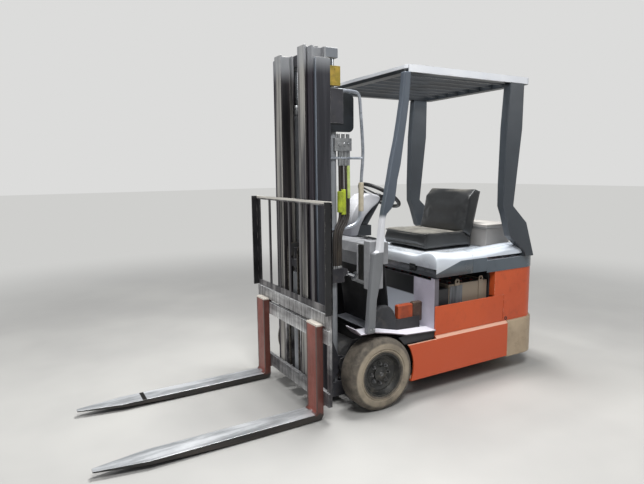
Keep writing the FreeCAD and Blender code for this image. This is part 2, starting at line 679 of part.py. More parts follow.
# Overhead guard: bent front legs, roof frame with bars, rear legs with swept feet
half_leg = d.leg_depth / 2
foot_z = d.fender_z + d.sheet + d.seat_gap
front_leg = prism("front_leg", "XZ_Plane", d.guard_half - d.leg_width, d.guard_half, [
    (85 - half_leg, foot_z), (85 + half_leg, foot_z), (22 + half_leg, 980), (half_leg - 65, 1410),
    (half_leg - 158, 1790), (half_leg - 170, d.guard_top - d.roof_depth),
            (-half_leg - 170, d.guard_top - d.roof_depth),
    (-half_leg - 158, 1790), (-half_leg - 65, 1410), (20 - half_leg, 980)])
soften(front_leg, 14, lambda m, t: abs(t.y) < 0.1)
shroud = prism("shroud", "XZ_Plane", cowl_half + d.seat_gap, d.guard_half - d.leg_width + 16, [
    (85 - half_leg, foot_z), (85 + half_leg, foot_z), (24 + half_leg, 1000), (20 - half_leg, 1000)])
leg_set = fuse("leg_set", front_leg, shroud)
keep("guard_front_legs", together("front_legs", leg_set, mirrored(leg_set)))
rear_leg = prism("rear_leg", "XZ_Plane", d.guard_half - d.rear_leg_width, d.guard_half, [
    (-1040, d.guard_top - d.roof_depth), (-1017, 1740), (-1009, 1360), (-1012, 1213), (-1041, 1150),
            (-1092, 1003),
    (-1243, 891), (-1262, d.hood_crease + d.seat_gap), (-1346, d.hood_crease + d.seat_gap), (-1254, 1092),
            (-1112, 1215),
    (-1129, 1360), (-1172, 1740), (-1175, d.guard_top - d.roof_depth)])
keep("guard_rear_legs", together("rear_legs", rear_leg, mirrored(rear_leg)))
roof_low = d.guard_top - d.roof_depth
roof = prism("roof", "XY_Plane", roof_low, d.guard_top, [
    (d.roof_back, -d.guard_half), (d.roof_front, -d.guard_half), (d.roof_front, d.guard_half),
    (d.roof_back, d.guard_half)])
soften(roof, 45, lambda m, t: abs(t.z) > 0.9)
pocket(roof, "XY_Plane", roof_low - 1, d.guard_top + 1, [
    (d.roof_back + d.roof_rail, d.roof_rail - d.guard_half), (d.roof_front - d.roof_rail,
            d.roof_rail - d.guard_half),
    (d.roof_front - d.roof_rail, d.guard_half - d.roof_rail), (d.roof_back + d.roof_rail,
            d.guard_half - d.roof_rail)])
bars = []
bar_count = 7
bar_span = d.guard_half - d.roof_rail
for number in range(bar_count):
    at = (number + 1) * (bar_span * 2) / (bar_count + 1) - bar_span - d.bar_width / 2
    bars.append(block(f"bar{number}", (d.roof_back + d.roof_rail - 8, d.roof_front - d.roof_rail + 8),
                      (at, at + d.bar_width), (d.guard_top - d.bar_height - 6, d.guard_top - 6)))
keep("guard_roof", fuse("roof_grille", roof, *bars))

# Battery hood: a crowned sheet with a skirt, hinged between the guard's rear legs
def hood_form(name, inset):
    """The hood's outer shape, or its hollow when inset by the sheet."""
    low = d.hood_bottom - (1 if inset else 0)
    side = prism(name + "_side", "XZ_Plane", inset - side_in - 5, side_in + 5 - inset, [
        (d.bulkhead_x + 4 - inset, low), (d.bulkhead_x + 4 - inset, d.hood_crease - inset),
        (d.bulkhead_x - 40, d.hood_top - 22 - inset), (d.bulkhead_x - 130, d.hood_top - inset),
        (d.hood_back + inset, d.hood_top - inset), (d.hood_back + inset, low)])
    front = prism(name + "_front", "YZ_Plane", d.hood_back - 1, d.bulkhead_x + 20, [
        (inset - side_in - 5, low), (side_in + 5 - inset, low),
                (side_in + 5 - inset, d.hood_crease - inset),
        (side_in - 90, d.hood_top - 22 - inset), (side_in - 210, d.hood_top - inset),
        (210 - side_in, d.hood_top - inset), (90 - side_in, d.hood_top - 22 - inset),
        (inset - side_in - 5, d.hood_crease - inset)])
    form = doc.addObject("Part::Common", name)
    form.Base = side
    form.Tool = front
    return form


shell = cut("hood_shell", hood_form("hood_outer", ZERO), hood_form("hood_inner", d.hood_wall))
tail = block("tail", (d.hinge_x + 30, d.hood_back), (-d.tail_half, d.tail_half),
             (d.hood_crease + 6, d.hood_top))
knuckle_tube = rod("knuckle_tube", "y", (d.hinge_x, 300, d.hinge_z), 18, 60)
knuckle_arm = block("knuckle_arm", (d.hinge_x, d.hinge_x + 40), (300, 360), (d.hinge_z, d.hinge_z + 14))
knuckle_bore = rod("knuckle_bore", "y", (d.hinge_x, 299, d.hinge_z), 10 + d.pin_play, 62)
knuckle = cut("knuckle", fuse("knuckle_body", knuckle_tube, knuckle_arm), knuckle_bore)
keep("battery_hood", fuse("hood", shell, tail, knuckle, mirrored(knuckle)))

cover = prism("cover", "XY_Plane", d.weight_top, d.hood_crease, [
    (rear_in, -side_in - 5), (d.hood_back - d.clearance, -side_in - 5),
            (d.hood_back - d.clearance, side_in + 5),
    (rear_in, side_in + 5)])
soften(cover, d.rear_round - d.panel_step, lambda m, t: abs(t.z) > 0.9 and m.x < rear_in.value + 1)
recess_half = d.tail_half + 8
pocket(cover, "XY_Plane", d.weight_top - 1, d.hood_crease + 1, [
    (d.hinge_x - 60, -recess_half), (d.hood_back, -recess_half), (d.hood_back, recess_half),
    (d.hinge_x - 60, recess_half)])
hinge_ear = block("hinge_ear", (d.hinge_x - 16, d.hinge_x + 16), (recess_half - 34, recess_half + 4),
                  (d.weight_top + 30, d.hinge_z + 16))
hinge_pin = rod("hinge_pin", "y", (d.hinge_x, 290, d.hinge_z), 10, recess_half - 290)
hinge = fuse("hinge", hinge_ear, hinge_pin)
keep("rear_cover", fuse("cover_set", cover, hinge, mirrored(hinge)))

# Seat and the box behind it, carried by the hood
front_edge = d.seat_x + d.seat_length / 2
back_edge = d.seat_x - d.seat_length / 2
base_plate = block("seat_plate", (back_edge, front_edge - 20), (30 - d.seat_half, d.seat_half - 30),
                   (d.hood_top, d.seat_low - d.seat_gap))
shell_back = prism("seat_shell", "XZ_Plane", 20 - d.seat_half, d.seat_half - 20, [
    (back_edge, d.hood_top), (back_edge, d.seat_low + 60), (back_edge - 95, d.back_top - 20),
    (back_edge - 110, d.back_top - 20), (back_edge - 22, d.seat_low + 60), (back_edge - 22, d.hood_top)])
keep("seat_frame", fuse("seat_carrier", base_plate, shell_back))
cushion = prism("cushion", "XZ_Plane", -d.seat_half, d.seat_half, [
    (back_edge + d.seat_gap, d.seat_low), (front_edge, d.seat_low), (front_edge + 10, d.seat_low + 50),
    (front_edge - 20, d.seat_top), (back_edge + 90, d.seat_top - 14), (back_edge + 10, d.seat_low + 60)])
keep("seat_cushion", cushion)
rest = prism("seat_rest", "XZ_Plane", -d.seat_half, d.seat_half, [
    (back_edge + 1, d.seat_low + 61), (back_edge + 88, d.seat_top - 14), (back_edge + 30, d.back_top - 60),
    (back_edge - 40, d.back_top), (back_edge - 94, d.back_top - 20)])
keep("seat_backrest", rest)
box_front = back_edge - 55
rear_box = block("rear_box", (d.hinge_x + 20, box_front - 12), (12 - d.deck_half, d.deck_half - 12),
                 (d.hood_top, d.deck_top - 24))
rear_lid = block("rear_lid", (d.hinge_x + 10, box_front), (-d.deck_half, d.deck_half),
                 (d.deck_top - 24, d.deck_top))
keep("rear_deck", fuse("rear_box_set", rear_box, rear_lid))

# Mast: three pairs of rails nested one inside the other, in the mast's own frame
def rail(name, back, outside, web_face, inside, low, high):
    """A rail's section: flanges from outside to inside, and a web whose outer face is web_face."""
    front = back + d.rail_depth
    web_in = web_face - d.web
    corners = [(back, inside), (back, outside)]
    if outside is not web_face:
        corners += [(back + d.flange, outside), (back + d.flange, web_face), (front - d.flange, web_face),
                    (front - d.flange, outside)]
    corners += [(front, outside), (front, inside), (front - d.flange, inside), (front - d.flange, web_in),
                (back + d.flange, web_in), (back + d.flange, inside)]
    return prism(name, "XY_Plane", low, high, corners)


step_x = d.flange + d.clearance
back_1 = d.rail_back
back_2 = back_1 + step_x
back_3 = back_2 + step_x
web_1 = d.mast_half
inside_1 = web_1 - d.outer_flange
web_2 = inside_1 - d.clearance
inside_2 = web_2 - d.web - d.inner_flange
web_3 = inside_2 - d.clearance
inside_3 = web_3 - d.web - d.inner_flange
low_1 = d.rail_bottom
low_2 = low_1 + d.stage_step
low_3 = low_2 + d.stage_step
guide_radius = (d.rail_depth - step_x - d.flange * 2) / 2 - d.seat_gap
guide_1 = back_2 + d.flange + guide_radius + d.seat_gap
guide_2 = guide_1 + step_x
guide_y = 36


def guide(name, x, y, z):
    """A roller between a stage's rear flange and the front flange of the stage outside it."""
    return rod(name, "y", (x, y, z), guide_radius, guide_y)


outer = fuse("outer_stage", rail("outer_rail", back_1, web_1, web_1, inside_1, low_1, d.outer_top),
             guide("outer_guide", guide_1, web_1 - d.web - guide_y, d.outer_top - 60))
keep("mast_outer_rails", together("outer_rails", outer, mirrored(outer)), "mast")
middle = fuse("middle_stage",
              rail("middle_rail", back_2, web_1 - d.web - d.clearance, web_2, inside_2, low_2,
                   d.middle_top),
              guide("middle_foot_guide", guide_1, web_2, low_2 + 60),
              guide("middle_head_guide", guide_2, web_2 - d.web - guide_y, d.middle_top - 60))
keep("mast_middle_rails", together("middle_rails", middle, mirrored(middle)), "mast")
inner = fuse("inner_stage", rail("inner_rail", back_3, web_2 - d.web - d.clearance, web_3, inside_3, low_3,
                                 d.inner_top),
             guide("inner_foot_guide", guide_2, web_3, low_3 + 60))
keep("mast_inner_rails", together("inner_rails", inner, mirrored(inner)), "mast")

# Cross members of the outer mast stand behind the lift cylinders on cheeks
cylinder_x = d.rail_back - d.lift_bore - 6
brace_x = cylinder_x - d.lift_bore - 12
braces = []
for name, low, high in (("foot_brace", low_1, low_1 + 96), ("waist_brace", 520, 610),
                        ("head_brace", 1490, 1690)):
    plate_back = block(name, (brace_x - d.plate, brace_x), (-d.mast_half, d.mast_half), (low, high))
    ear = block(name + "_ear", (brace_x, d.rail_back), (d.mast_half - d.plate, d.mast_half), (low, high))
    braces += [plate_back, ear, mirrored(ear)]
shelf = block("shelf", (brace_x, d.rail_back), (d.plate - d.mast_half, d.mast_half - d.plate),
              (low_1, low_1 + 12))
lug_back = d.tilt_pin_x - 24
for name, low in (("lug_in", d.tilt_y - 24), ("lug_out", d.tilt_y + 12)):
    lug = prism(name, "XZ_Plane", low, low + 12, [
        (brace_x - d.plate, 522), (brace_x - d.plate, 606), (d.tilt_pin_x + 6, d.tilt_pin_z + 26),
        (lug_back, d.tilt_pin_z + 16), (lug_back, d.tilt_pin_z - 16),
                                                  (d.tilt_pin_x + 6, d.tilt_pin_z - 30)])
    braces += [lug, mirrored(lug)]
mast_pin = rod("mast_pin", "y", (d.tilt_pin_x, d.tilt_y - 18, d.tilt_pin_z), 12, 36)
braces += [mast_pin, mirrored(mast_pin)]
keep("mast_outer_braces", fuse("outer_braces", *braces, shelf), "mast")
hanger_in = d.mast_half - 18
hanger_out = hanger_in + 15
hanger = prism("hanger", "XZ_Plane", hanger_in, hanger_out, [
    (d.rail_back, -112), (d.rail_back, 160), (30, 52), (-20, 40), (-38, 18), (-42, 0), (-38, -18),
            (-20, -40), (30, -60)])
pin = rod("pivot_pin", "y", (0, hanger_in, 0), pivot_pin, cheek_out + 6 - hanger_in)
hanger_pin = fuse("hanger_pin", hanger, pin)
keep("mast_hangers", together("hangers", hanger_pin, mirrored(hanger_pin)), "mast")

# Oil pipes from the lift cylinders' feet to the head brace
pipe_line = rod("pipe_line", "z", (brace_x + d.pipe + 2, d.lift_y - d.lift_bore - 22,
                                   low_1 + 12 + d.seat_gap), d.pipe,
                1690 - low_1 - 12)
pipe_cross = rod("pipe_cross", "y", (brace_x + d.pipe + 2, 60, 760), d.pipe - 2,
                 d.lift_y - d.lift_bore - 22 - 60)
pipe = fuse("pipe", pipe_line, pipe_cross)
keep("mast_pipes", together("pipe_pair", pipe, mirrored(pipe)), "mast")

# Main lift cylinders on the shelf, their rods under the middle mast's head
barrel_top = 1640
barrel_base = low_1 + 12
barrel_tube = rod("lift_barrel", "z", (cylinder_x, d.lift_y, barrel_base + d.seat_gap), d.lift_bore,
                  barrel_top - barrel_base)
barrel_hole = rod("lift_hole", "z", (cylinder_x, d.lift_y, barrel_base + 20), d.lift_rod + 0.4,
                  barrel_top - barrel_base)
lift_barrel = cut("lift_cylinder", barrel_tube, barrel_hole)
keep("lift_cylinders", together("lift_pair", lift_barrel, mirrored(lift_barrel)), "mast")
head_low = d.outer_top + d.clearance + 3
lift_rod = rod("lift_ram", "z", (cylinder_x, d.lift_y, barrel_base + 30), d.lift_rod,
               head_low - barrel_base - 30)
keep("lift_rods", together("ram_pair", lift_rod, mirrored(lift_rod)), "mast")
head_half = web_1 - d.web - d.clearance
head = block("middle_head", (cylinder_x - d.lift_bore, back_2), (-head_half, head_half),
             (head_low, d.middle_top))
tie_half = inside_1 - d.clearance
tie = block("middle_tie", (back_2 - 16, back_2), (-tie_half, tie_half), (low_2, low_2 + 90))
keep("mast_middle_ties", together("middle_ties", head, tie), "mast")
crown = block("inner_head", (back_3 - 12, back_3), (-web_3, web_3), (d.inner_top - 70, d.inner_top))
inner_tie = block("inner_tie", (back_3 - 12, back_3), (-web_3, web_3), (low_3, low_3 + 100))

# Free-lift cylinder on the inner mast, its crosshead and sheaves
wheel_y = 66
free_x = back_3 + d.free_bore + 2
foot = block("free_foot", (back_3, free_x + d.free_bore), (-60, 60), (low_3, low_3 + 14))
chain_lug = block("chain_lug", (back_3 - 1, back_3 + 16), (wheel_y - 14, wheel_y + 14),
                  (low_3 + 84, low_3 + 100))
free_low = low_3 + 14
free_tube = rod("free_tube", "z", (free_x, 0, free_low + d.seat_gap), d.free_bore, d.free_top - free_low)
free_hole = rod("free_hole", "z", (free_x, 0, free_low + 20), d.free_rod + 0.4, d.free_top - free_low)
keep("mast_inner_ties", together("inner_ties", crown, fuse("inner_foot", inner_tie, foot, chain_lug,
        mirrored(chain_lug))), "mast")
keep("free_lift_cylinder", cut("free_cylinder", free_tube, free_hole), "mast")
yoke_low = d.free_top + 30
free_ram = rod("free_ram", "z", (free_x, 0, free_low + 30), d.free_rod, yoke_low - free_low - 30)
yoke = block("yoke", (free_x - 22, free_x + 22), (-92, 92), (yoke_low, yoke_low + 50))
sheave_z = yoke_low + 50 + d.sheave + 14
groove = d.sheave - 7
wheel = turned("sheave_wheel", [(10 + d.pin_play, -12), (d.sheave, -12), (groove, -9), (groove, 9),
                                (d.sheave, 12),
                                (10 + d.pin_play, 12)])
seat(wheel, free_x, wheel_y, sheave_z)
keep("chain_sheaves", together("sheaves", wheel, mirrored(wheel)), "mast")
yoke_fork = block("yoke_fork", (free_x - 14, free_x + 14), (wheel_y - 26, wheel_y - 14),
                  (yoke_low + 50, sheave_z + 14))
sheave_pin = rod("sheave_pin", "y", (free_x, wheel_y - 20, sheave_z), 10, 40)
yoke_all = fuse("yoke_all", free_ram, yoke, yoke_fork, mirrored(yoke_fork), sheave_pin,
                mirrored(sheave_pin))
keep("crosshead", yoke_all, "mast")

# Leaf chains: from the inner mast's foot, over the sheaves and down to the carriage
chain_in = groove + d.seat_gap
chain_out = chain_in + d.chain_thick
chain_side = d.chain_width / 2
chain_foot = low_3 + 100
bend_tube = cut("bend_ring", rod("bend_outer", "y", (free_x, wheel_y - chain_side, sheave_z), chain_out,
                                 d.chain_width),
                rod("bend_inner", "y", (free_x, wheel_y - chain_side - 1, sheave_z), chain_in,
                    d.chain_width + 2))
bend_half = block("bend_half", (free_x - chain_out - 1, free_x + chain_out + 1),
                  (wheel_y - 20, wheel_y + 20),
                  (sheave_z - chain_out - 1, sheave_z))
bend = cut("bend", bend_tube, bend_half)
keep("chain_bends", together("chain_tops", bend, mirrored(bend)), "mast")
run_y = (wheel_y - chain_side, wheel_y + chain_side)
run_front = block("run_front", (free_x + chain_in, free_x + chain_out), run_y,
                  (d.bar_low + d.bar_tall - 8 + d.seat_gap, sheave_z - d.seat_gap))
keep("chain_front_runs", together("front_runs", run_front, mirrored(run_front)), "mast")
run_rear = block("run_rear", (free_x - chain_out, free_x - chain_in), run_y,
                 (chain_foot + d.seat_gap, sheave_z - d.seat_gap))
keep("chain_rear_runs", together("rear_runs", run_rear, mirrored(run_rear)), "mast")

# Fork carriage: side plates with rollers in the inner rails, two bars and a top beam
front_3 = back_3 + d.rail_depth
roller_y = inside_3 - d.clearance
bar_x = front_3 + d.clearance
roller_x = back_3 + d.rail_depth / 2
roller_radius = d.rail_depth / 2 - d.flange - d.seat_gap
beam_low = d.bar_high + 18
cheeks = block("carriage_cheek", (back_3 + d.flange, bar_x), (roller_y - d.plate, roller_y),
               (d.bar_low, d.rest_low))
bar_half = d.carriage_half - 20
lower_bar = block("lower_bar", (bar_x, bar_x + d.bar_thick), (-bar_half, bar_half),
                  (d.bar_low, d.bar_low + d.bar_tall))
upper_bar = block("upper_bar", (bar_x, bar_x + d.bar_thick), (-bar_half, bar_half),
                  (d.bar_high - d.bar_tall, d.bar_high))
beam = block("beam", (bar_x, bar_x + d.bar_thick), (-bar_half, bar_half), (beam_low, d.rest_low))
end_post = block("end_post", (bar_x, bar_x + 14), (bar_half - 40, bar_half),
                 (d.bar_low + d.bar_tall - 1, d.bar_high - d.bar_tall + 1))
beam_post = block("beam_post", (bar_x, bar_x + 14), (bar_half - 60, bar_half),
                  (d.bar_high - 1, beam_low + 1))
anchor_z = d.bar_low + d.bar_tall - 8
anchor_lug = block("anchor_lug", (bar_x - 22, bar_x + 1), (wheel_y - 14, wheel_y + 14),
                   (anchor_z - 16, anchor_z))
stiffeners = [end_post, mirrored(end_post), beam_post, mirrored(beam_post), anchor_lug,
              mirrored(anchor_lug)]
rollers = []
for number, z in enumerate((d.bar_low + 45, d.rest_low - 50)):
    roller = rod(f"roller{number}", "y", (roller_x, roller_y, z), roller_radius, d.inner_flange)
    rollers += [roller, mirrored(roller)]
keep("fork_carriage", fuse("carriage", cheeks, mirrored(cheeks), lower_bar, upper_bar, beam, *stiffeners,
                           *rollers), "mast")

# Load backrest: a frame of flats standing on the beam
rest_x = bar_x + 4
rest_depth = 12
flat = 46
rest_half = d.carriage_half
sill_bar = block("rest_sill", (rest_x, rest_x + rest_depth), (-rest_half, rest_half),
                 (d.rest_low + d.seat_gap, d.rest_low + 40))
top_bar = block("rest_head", (rest_x, rest_x + rest_depth), (-rest_half, rest_half),
                (d.rest_top - 24, d.rest_top))
slats = []
for number, (y, width) in enumerate(((flat / 2 - rest_half, flat), (-300, 22), (-150, 22), (0, 22),
                                     (150, 22),
                                     (300, 22), (rest_half - flat / 2, flat))):
    slats.append(block(f"slat{number}", (rest_x, rest_x + rest_depth),
                       (y - size(width) / 2, y + size(width) / 2),
                       (d.rest_low + 40, d.rest_top - 24)))
keep("load_backrest", fuse("rest_frame", sill_bar, top_bar, *slats), "mast")

# Forks: L-shaped forgings hooked on the bars, with tapered tips
fork_x = bar_x + d.bar_thick
fork_face = fork_x + d.fork_thick
fork_end = fork_face + d.fork_length
half_fork = d.fork_width / 2
blade_top = d.fork_heel + d.fork_thick
for side, hand in (("left", 1), ("right", -1)):
    middle_y = d.fork_y * hand
    fork = prism(f"fork_{side}", "XZ_Plane", middle_y - half_fork, middle_y + half_fork, [
        (fork_x, d.fork_heel), (fork_face + d.taper_start, d.fork_heel),
                (fork_end, blade_top - d.tip_thick),
        (fork_end, blade_top), (fork_face, blade_top), (fork_face, d.fork_top), (fork_x, d.fork_top)])
    soften(fork, d.heel_round, lambda m, t: abs(t.y) > 0.9 and abs(m.x - fork_x.value) < 1 and m.z < -200)
    soften(fork, d.heel_inside, lambda m, t: abs(t.y) > 0.9 and abs(m.x - fork_face.value) < 1 and m.z < 0)
    for edge in (1, -1):
        side_y = middle_y + half_fork * edge
        pocket(fork, "XY_Plane", d.fork_heel - 1, blade_top + 1, [
            (fork_end - d.tip_taper, side_y), (fork_end + 1, side_y - d.tip_inset * edge),
                    (fork_end + 1, side_y + edge)])
    for low, high in ((d.bar_high + 1, d.bar_high + 15), (d.bar_low - 15, d.bar_low - 1)):
        pad(fork, "XZ_Plane", middle_y - half_fork + 10, middle_y + half_fork - 10,
            [(fork_x - d.bar_thick - 0.5, low), (fork_x + 1, low), (fork_x + 1, high),
             (fork_x - d.bar_thick - 0.5, high)])
    keep(f"fork_{side}", fork, "mast")


# Tilt cylinders between the anchors and the mast's lugs
run = d.pivot_x + d.tilt_pin_x - d.tilt_foot_x
rise = d.pivot_z + d.tilt_pin_z - d.tilt_foot_z
reach = Size(math.hypot(run.value, rise.value), f"sqrt({run.text}^2 + {rise.text}^2)")
elevation = Size(math.degrees(math.atan2(rise.value, run.value)), f"atan2({rise.text}; {run.text})")


def along_cylinder(name, part):
    part.Placement.Rotation = FreeCAD.Rotation(FreeCAD.Vector(0, -1, 0), elevation.value)
    bind(part, "Placement.Rotation.Angle", elevation)
    keep(name, part, x=d.tilt_foot_x, z=d.tilt_foot_z)


eye_radius = 24
eye_half = 7.7
barrel_start = 34
barrel_end = 148
bore_start = 40
ram_start = 90
ram_end = reach - 36
foot_eye = rod("foot_eye", "y", (0, d.tilt_y - eye_half, 0), eye_radius, eye_half * 2)
foot_hole = rod("foot_hole", "y", (0, d.tilt_y - 20, 0), 12 + d.pin_play, 40)
tilt_neck = block("tilt_neck", (0, barrel_start + 4), (d.tilt_y - eye_half, d.tilt_y + eye_half), (-20, 20))
tilt_tube = rod("tilt_tube", "x", (barrel_start, d.tilt_y, 0), d.tilt_bore, barrel_end - barrel_start)
tilt_hole = rod("tilt_hole", "x", (bore_start, d.tilt_y, 0), d.tilt_rod + 0.4, barrel_end)
tilt_blank = fuse("tilt_blank", foot_eye, tilt_neck, tilt_tube)
tilt_barrel = cut("tilt_barrel", cut("tilt_eye_cut", tilt_blank, foot_hole), tilt_hole)
along_cylinder("tilt_cylinders", together("tilt_barrels", tilt_barrel, mirrored(tilt_barrel)))
rod_eye = rod("rod_eye", "y", (reach, d.tilt_y - 11, 0), eye_radius, 22)
rod_hole = rod("rod_hole", "y", (reach, d.tilt_y - 20, 0), 13.8, 40)
rod_neck = block("rod_neck", (reach - 40, reach), (d.tilt_y - 11, d.tilt_y + 11), (-15, 15))
ram = rod("tilt_ram", "x", (ram_start, d.tilt_y, 0), d.tilt_rod, ram_end - ram_start)
tilt_ram = cut("tilt_ram_eye", fuse("tilt_ram_blank", rod_eye, rod_neck, ram), rod_hole)
along_cylinder("tilt_rods", together("tilt_rams", tilt_ram, mirrored(tilt_ram)))

doc.recompute()
for obj in doc.Objects:
    if "Invalid" in obj.State or "Error" in obj.State:
        raise ValueError(f"{obj.Name} ({obj.Label}): {obj.State}")
for node in nodes:
    if node.Shape.isNull() or not node.Shape.isValid():
        raise ValueError(f"{node.Label} has no valid shape")

os.makedirs("parts", exist_ok=True)
for node in nodes:
    node.Shape.exportStep(f"parts/{node.Label}.step")
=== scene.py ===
import json
import math

import bmesh
import bpy
from mathutils import Matrix, Vector

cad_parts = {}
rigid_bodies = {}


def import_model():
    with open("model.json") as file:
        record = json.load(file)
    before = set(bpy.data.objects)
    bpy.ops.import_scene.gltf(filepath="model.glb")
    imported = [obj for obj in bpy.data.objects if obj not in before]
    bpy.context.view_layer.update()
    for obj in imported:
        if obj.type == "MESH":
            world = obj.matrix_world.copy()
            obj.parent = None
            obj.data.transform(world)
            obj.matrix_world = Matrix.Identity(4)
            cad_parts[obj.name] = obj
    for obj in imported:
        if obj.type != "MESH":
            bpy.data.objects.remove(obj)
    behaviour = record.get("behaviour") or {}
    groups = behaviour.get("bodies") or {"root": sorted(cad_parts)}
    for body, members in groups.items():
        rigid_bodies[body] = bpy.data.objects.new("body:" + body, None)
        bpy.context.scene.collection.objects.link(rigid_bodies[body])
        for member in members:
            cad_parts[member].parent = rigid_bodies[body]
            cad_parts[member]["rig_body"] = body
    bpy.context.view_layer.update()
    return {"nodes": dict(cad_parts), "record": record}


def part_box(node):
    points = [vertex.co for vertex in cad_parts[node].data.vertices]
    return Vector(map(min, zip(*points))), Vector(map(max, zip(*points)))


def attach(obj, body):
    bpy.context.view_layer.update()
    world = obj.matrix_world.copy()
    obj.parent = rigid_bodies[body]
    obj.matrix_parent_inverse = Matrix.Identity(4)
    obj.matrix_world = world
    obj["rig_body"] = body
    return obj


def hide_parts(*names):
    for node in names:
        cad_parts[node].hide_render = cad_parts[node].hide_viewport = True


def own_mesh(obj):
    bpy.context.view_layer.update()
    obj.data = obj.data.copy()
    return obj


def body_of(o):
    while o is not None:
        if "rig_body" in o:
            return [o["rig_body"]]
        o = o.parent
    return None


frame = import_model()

nodes = frame["nodes"]
tyre_low, tyre_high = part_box("drive_tyre_left")
axle_x = (tyre_low[0] + tyre_high[0]) / 2       # the drive axle is where the truck's lengths are measured from

# Camera: stands ahead of the truck and to its left, at a person's eye height, and looks a little down.
# Its place, heading, dip, roll and lens are fitted to the photo.
PHOTO_WIDTH = 644                       # pixels
FOCAL_PIXELS = 521.2
camera_data = bpy.data.cameras.new("camera")
camera_data.sensor_width = 36
camera_data.lens = FOCAL_PIXELS / PHOTO_WIDTH * camera_data.sensor_width
camera = bpy.data.objects.new("camera", camera_data)
heading, dip, roll = math.radians(-120.0), math.radians(7.78), math.radians(-0.667)
ahead = Vector((math.cos(heading) * math.cos(dip), math.sin(heading) * math.cos(dip), -math.sin(dip)))
right = ahead.cross(Vector((0, 0, 1))).normalized()
up = right.cross(ahead)
rolled_right = right * math.cos(roll) + up * math.sin(roll)
rolled_up = up * math.cos(roll) - right * math.sin(roll)
camera.matrix_world = Matrix((rolled_right, rolled_up, -ahead)).transposed().to_4x4()
camera.matrix_world.translation = Vector((axle_x + 1.8396, 2.9743, 1.4703))
bpy.context.scene.collection.objects.link(camera)
bpy.context.scene.camera = camera
bpy.context.scene.view_settings.view_transform = "Standard"


# Warehouse floor: power-floated concrete, pale, with the dull sheen that years of wheels have given it. Away from
# the truck it fades to one even tone. Colours here and below are sRGB hex, turned to linear by one function.
def linear(code):
    """The linear colour of an sRGB hex code."""
    channels = [int(code[i:i + 2], 16) / 255 for i in (1, 3, 5)]
    return [c / 12.92 if c < 0.04045 else ((c + 0.055) / 1.055) ** 2.4 for c in channels] + [1.0]


def fill(tree, node, inputs):
    """Gives a node's inputs, by name or number, a value, an sRGB hex code or a socket to link."""
    for socket, value in inputs.items():
        if isinstance(value, bpy.types.NodeSocket):
            tree.links.new(value, node.inputs[socket])
        else:
            node.inputs[socket].default_value = linear(value) if isinstance(value, str) else value


def add(tree, kind, inputs=(), **settings):
    """Adds a node with its settings and fills its inputs."""
    node = tree.nodes.new(kind)
    for name, value in settings.items():
        setattr(node, name, value)
    fill(tree, node, dict(inputs))
    return node


def mixed(tree, share, first, second):
    """Colour between first and second, by share."""
    return add(tree, "ShaderNodeMix", {0: share, 6: first, 7: second}, data_type="RGBA").outputs[2]


def maths(tree, operation, *values):
    """One arithmetic operation on values or sockets."""
    return add(tree, "ShaderNodeMath", dict(enumerate(values)), operation=operation).outputs[0]


def part(tree, vector, axis):
    """One component of a vector."""
    return add(tree, "ShaderNodeSeparateXYZ", {0: vector}).outputs[axis]


def facing(tree, axis):
    """How far the surface looks along an axis, from -1 to 1."""
    return part(tree, add(tree, "ShaderNodeNewGeometry").outputs["Normal"], axis)


def ramped(tree, value, low, high):
    """0 below low, 1 above high, smooth between."""
    node = add(tree, "ShaderNodeMapRange", {"Value": value, "From Min": low, "From Max": high},
               interpolation_type="SMOOTHSTEP")
    return node.outputs["Result"]


def spread(tree, value, near, far, low=0.0, high=1.0):
    """near where value is low, far where it is high, straight between."""
    return add(tree, "ShaderNodeMapRange", {"Value": value, "From Min": low, "From Max": high, "To Min": near,
                                            "To Max": far}).outputs["Result"]


def cloudy(tree, place, size_mm, detail=4.0, rough=0.55, stretch=(1, 1, 1)):
    """Noise whose patches are size_mm across; stretch lengthens them along an axis."""
    stretched = add(tree, "ShaderNodeMapping", {"Vector": place, "Scale": [1 / s for s in stretch]}).outputs[0]
    node = add(tree, "ShaderNodeTexNoise", {"Vector": stretched, "Scale": 500 / size_mm, "Detail": detail,
                                            "Roughness": rough})
    return node.outputs["Fac"]


def patchy(tree, place, size_mm, detail=4.0, rough=0.55, stretch=(1, 1, 1), low=0.35, high=0.65):
    """Cloudy noise drawn apart into patches of 0 and 1 with soft borders."""
    return ramped(tree, cloudy(tree, place, size_mm, detail, rough, stretch), low, high)


def started(name):
    """A new material with its tree, its shader and the Object coordinates."""
    mat = bpy.data.materials.new(name)
    mat.use_nodes = True
    tree = mat.node_tree
    return mat, tree, tree.nodes["Principled BSDF"], add(tree, "ShaderNodeTexCoord").outputs["Object"]


floor_finish, tree, shader, place = started("concrete_power_floated")
# Power-floated concrete: soft clouds of two near greys, a few hundred millimetres wide, and a faint sheen
fill(tree, shader, {"Base Color": mixed(tree, patchy(tree, place, 900), "#A9A8A5", "#B5B4B0"), "Roughness": 0.62})
rays = add(tree, "ShaderNodeLightPath").outputs
seen = maths(tree, "MAXIMUM", rays["Is Camera Ray"], rays["Is Glossy Ray"])
distance = add(tree, "ShaderNodeVectorMath", {0: place}, operation="LENGTH").outputs["Value"]
away = maths(tree, "MULTIPLY", seen, ramped(tree, distance, 2.2, 7.0))
even = add(tree, "ShaderNodeEmission", {"Color": "#CFCFCD", "Strength": 1.0}).outputs[0]
blend = add(tree, "ShaderNodeMixShader", {0: away, 1: shader.outputs[0], 2: even}).outputs[0]
fill(tree, tree.nodes["Material Output"], {"Surface": blend})
floor_bm = bmesh.new()
bmesh.ops.create_grid(floor_bm, x_segments=1, y_segments=1, size=40)
floor_mesh = bpy.data.meshes.new("floor")
floor_bm.to_mesh(floor_mesh)
floor_bm.free()
floor_mesh.materials.append(floor_finish)
floor = bpy.data.objects.new("floor", floor_mesh)
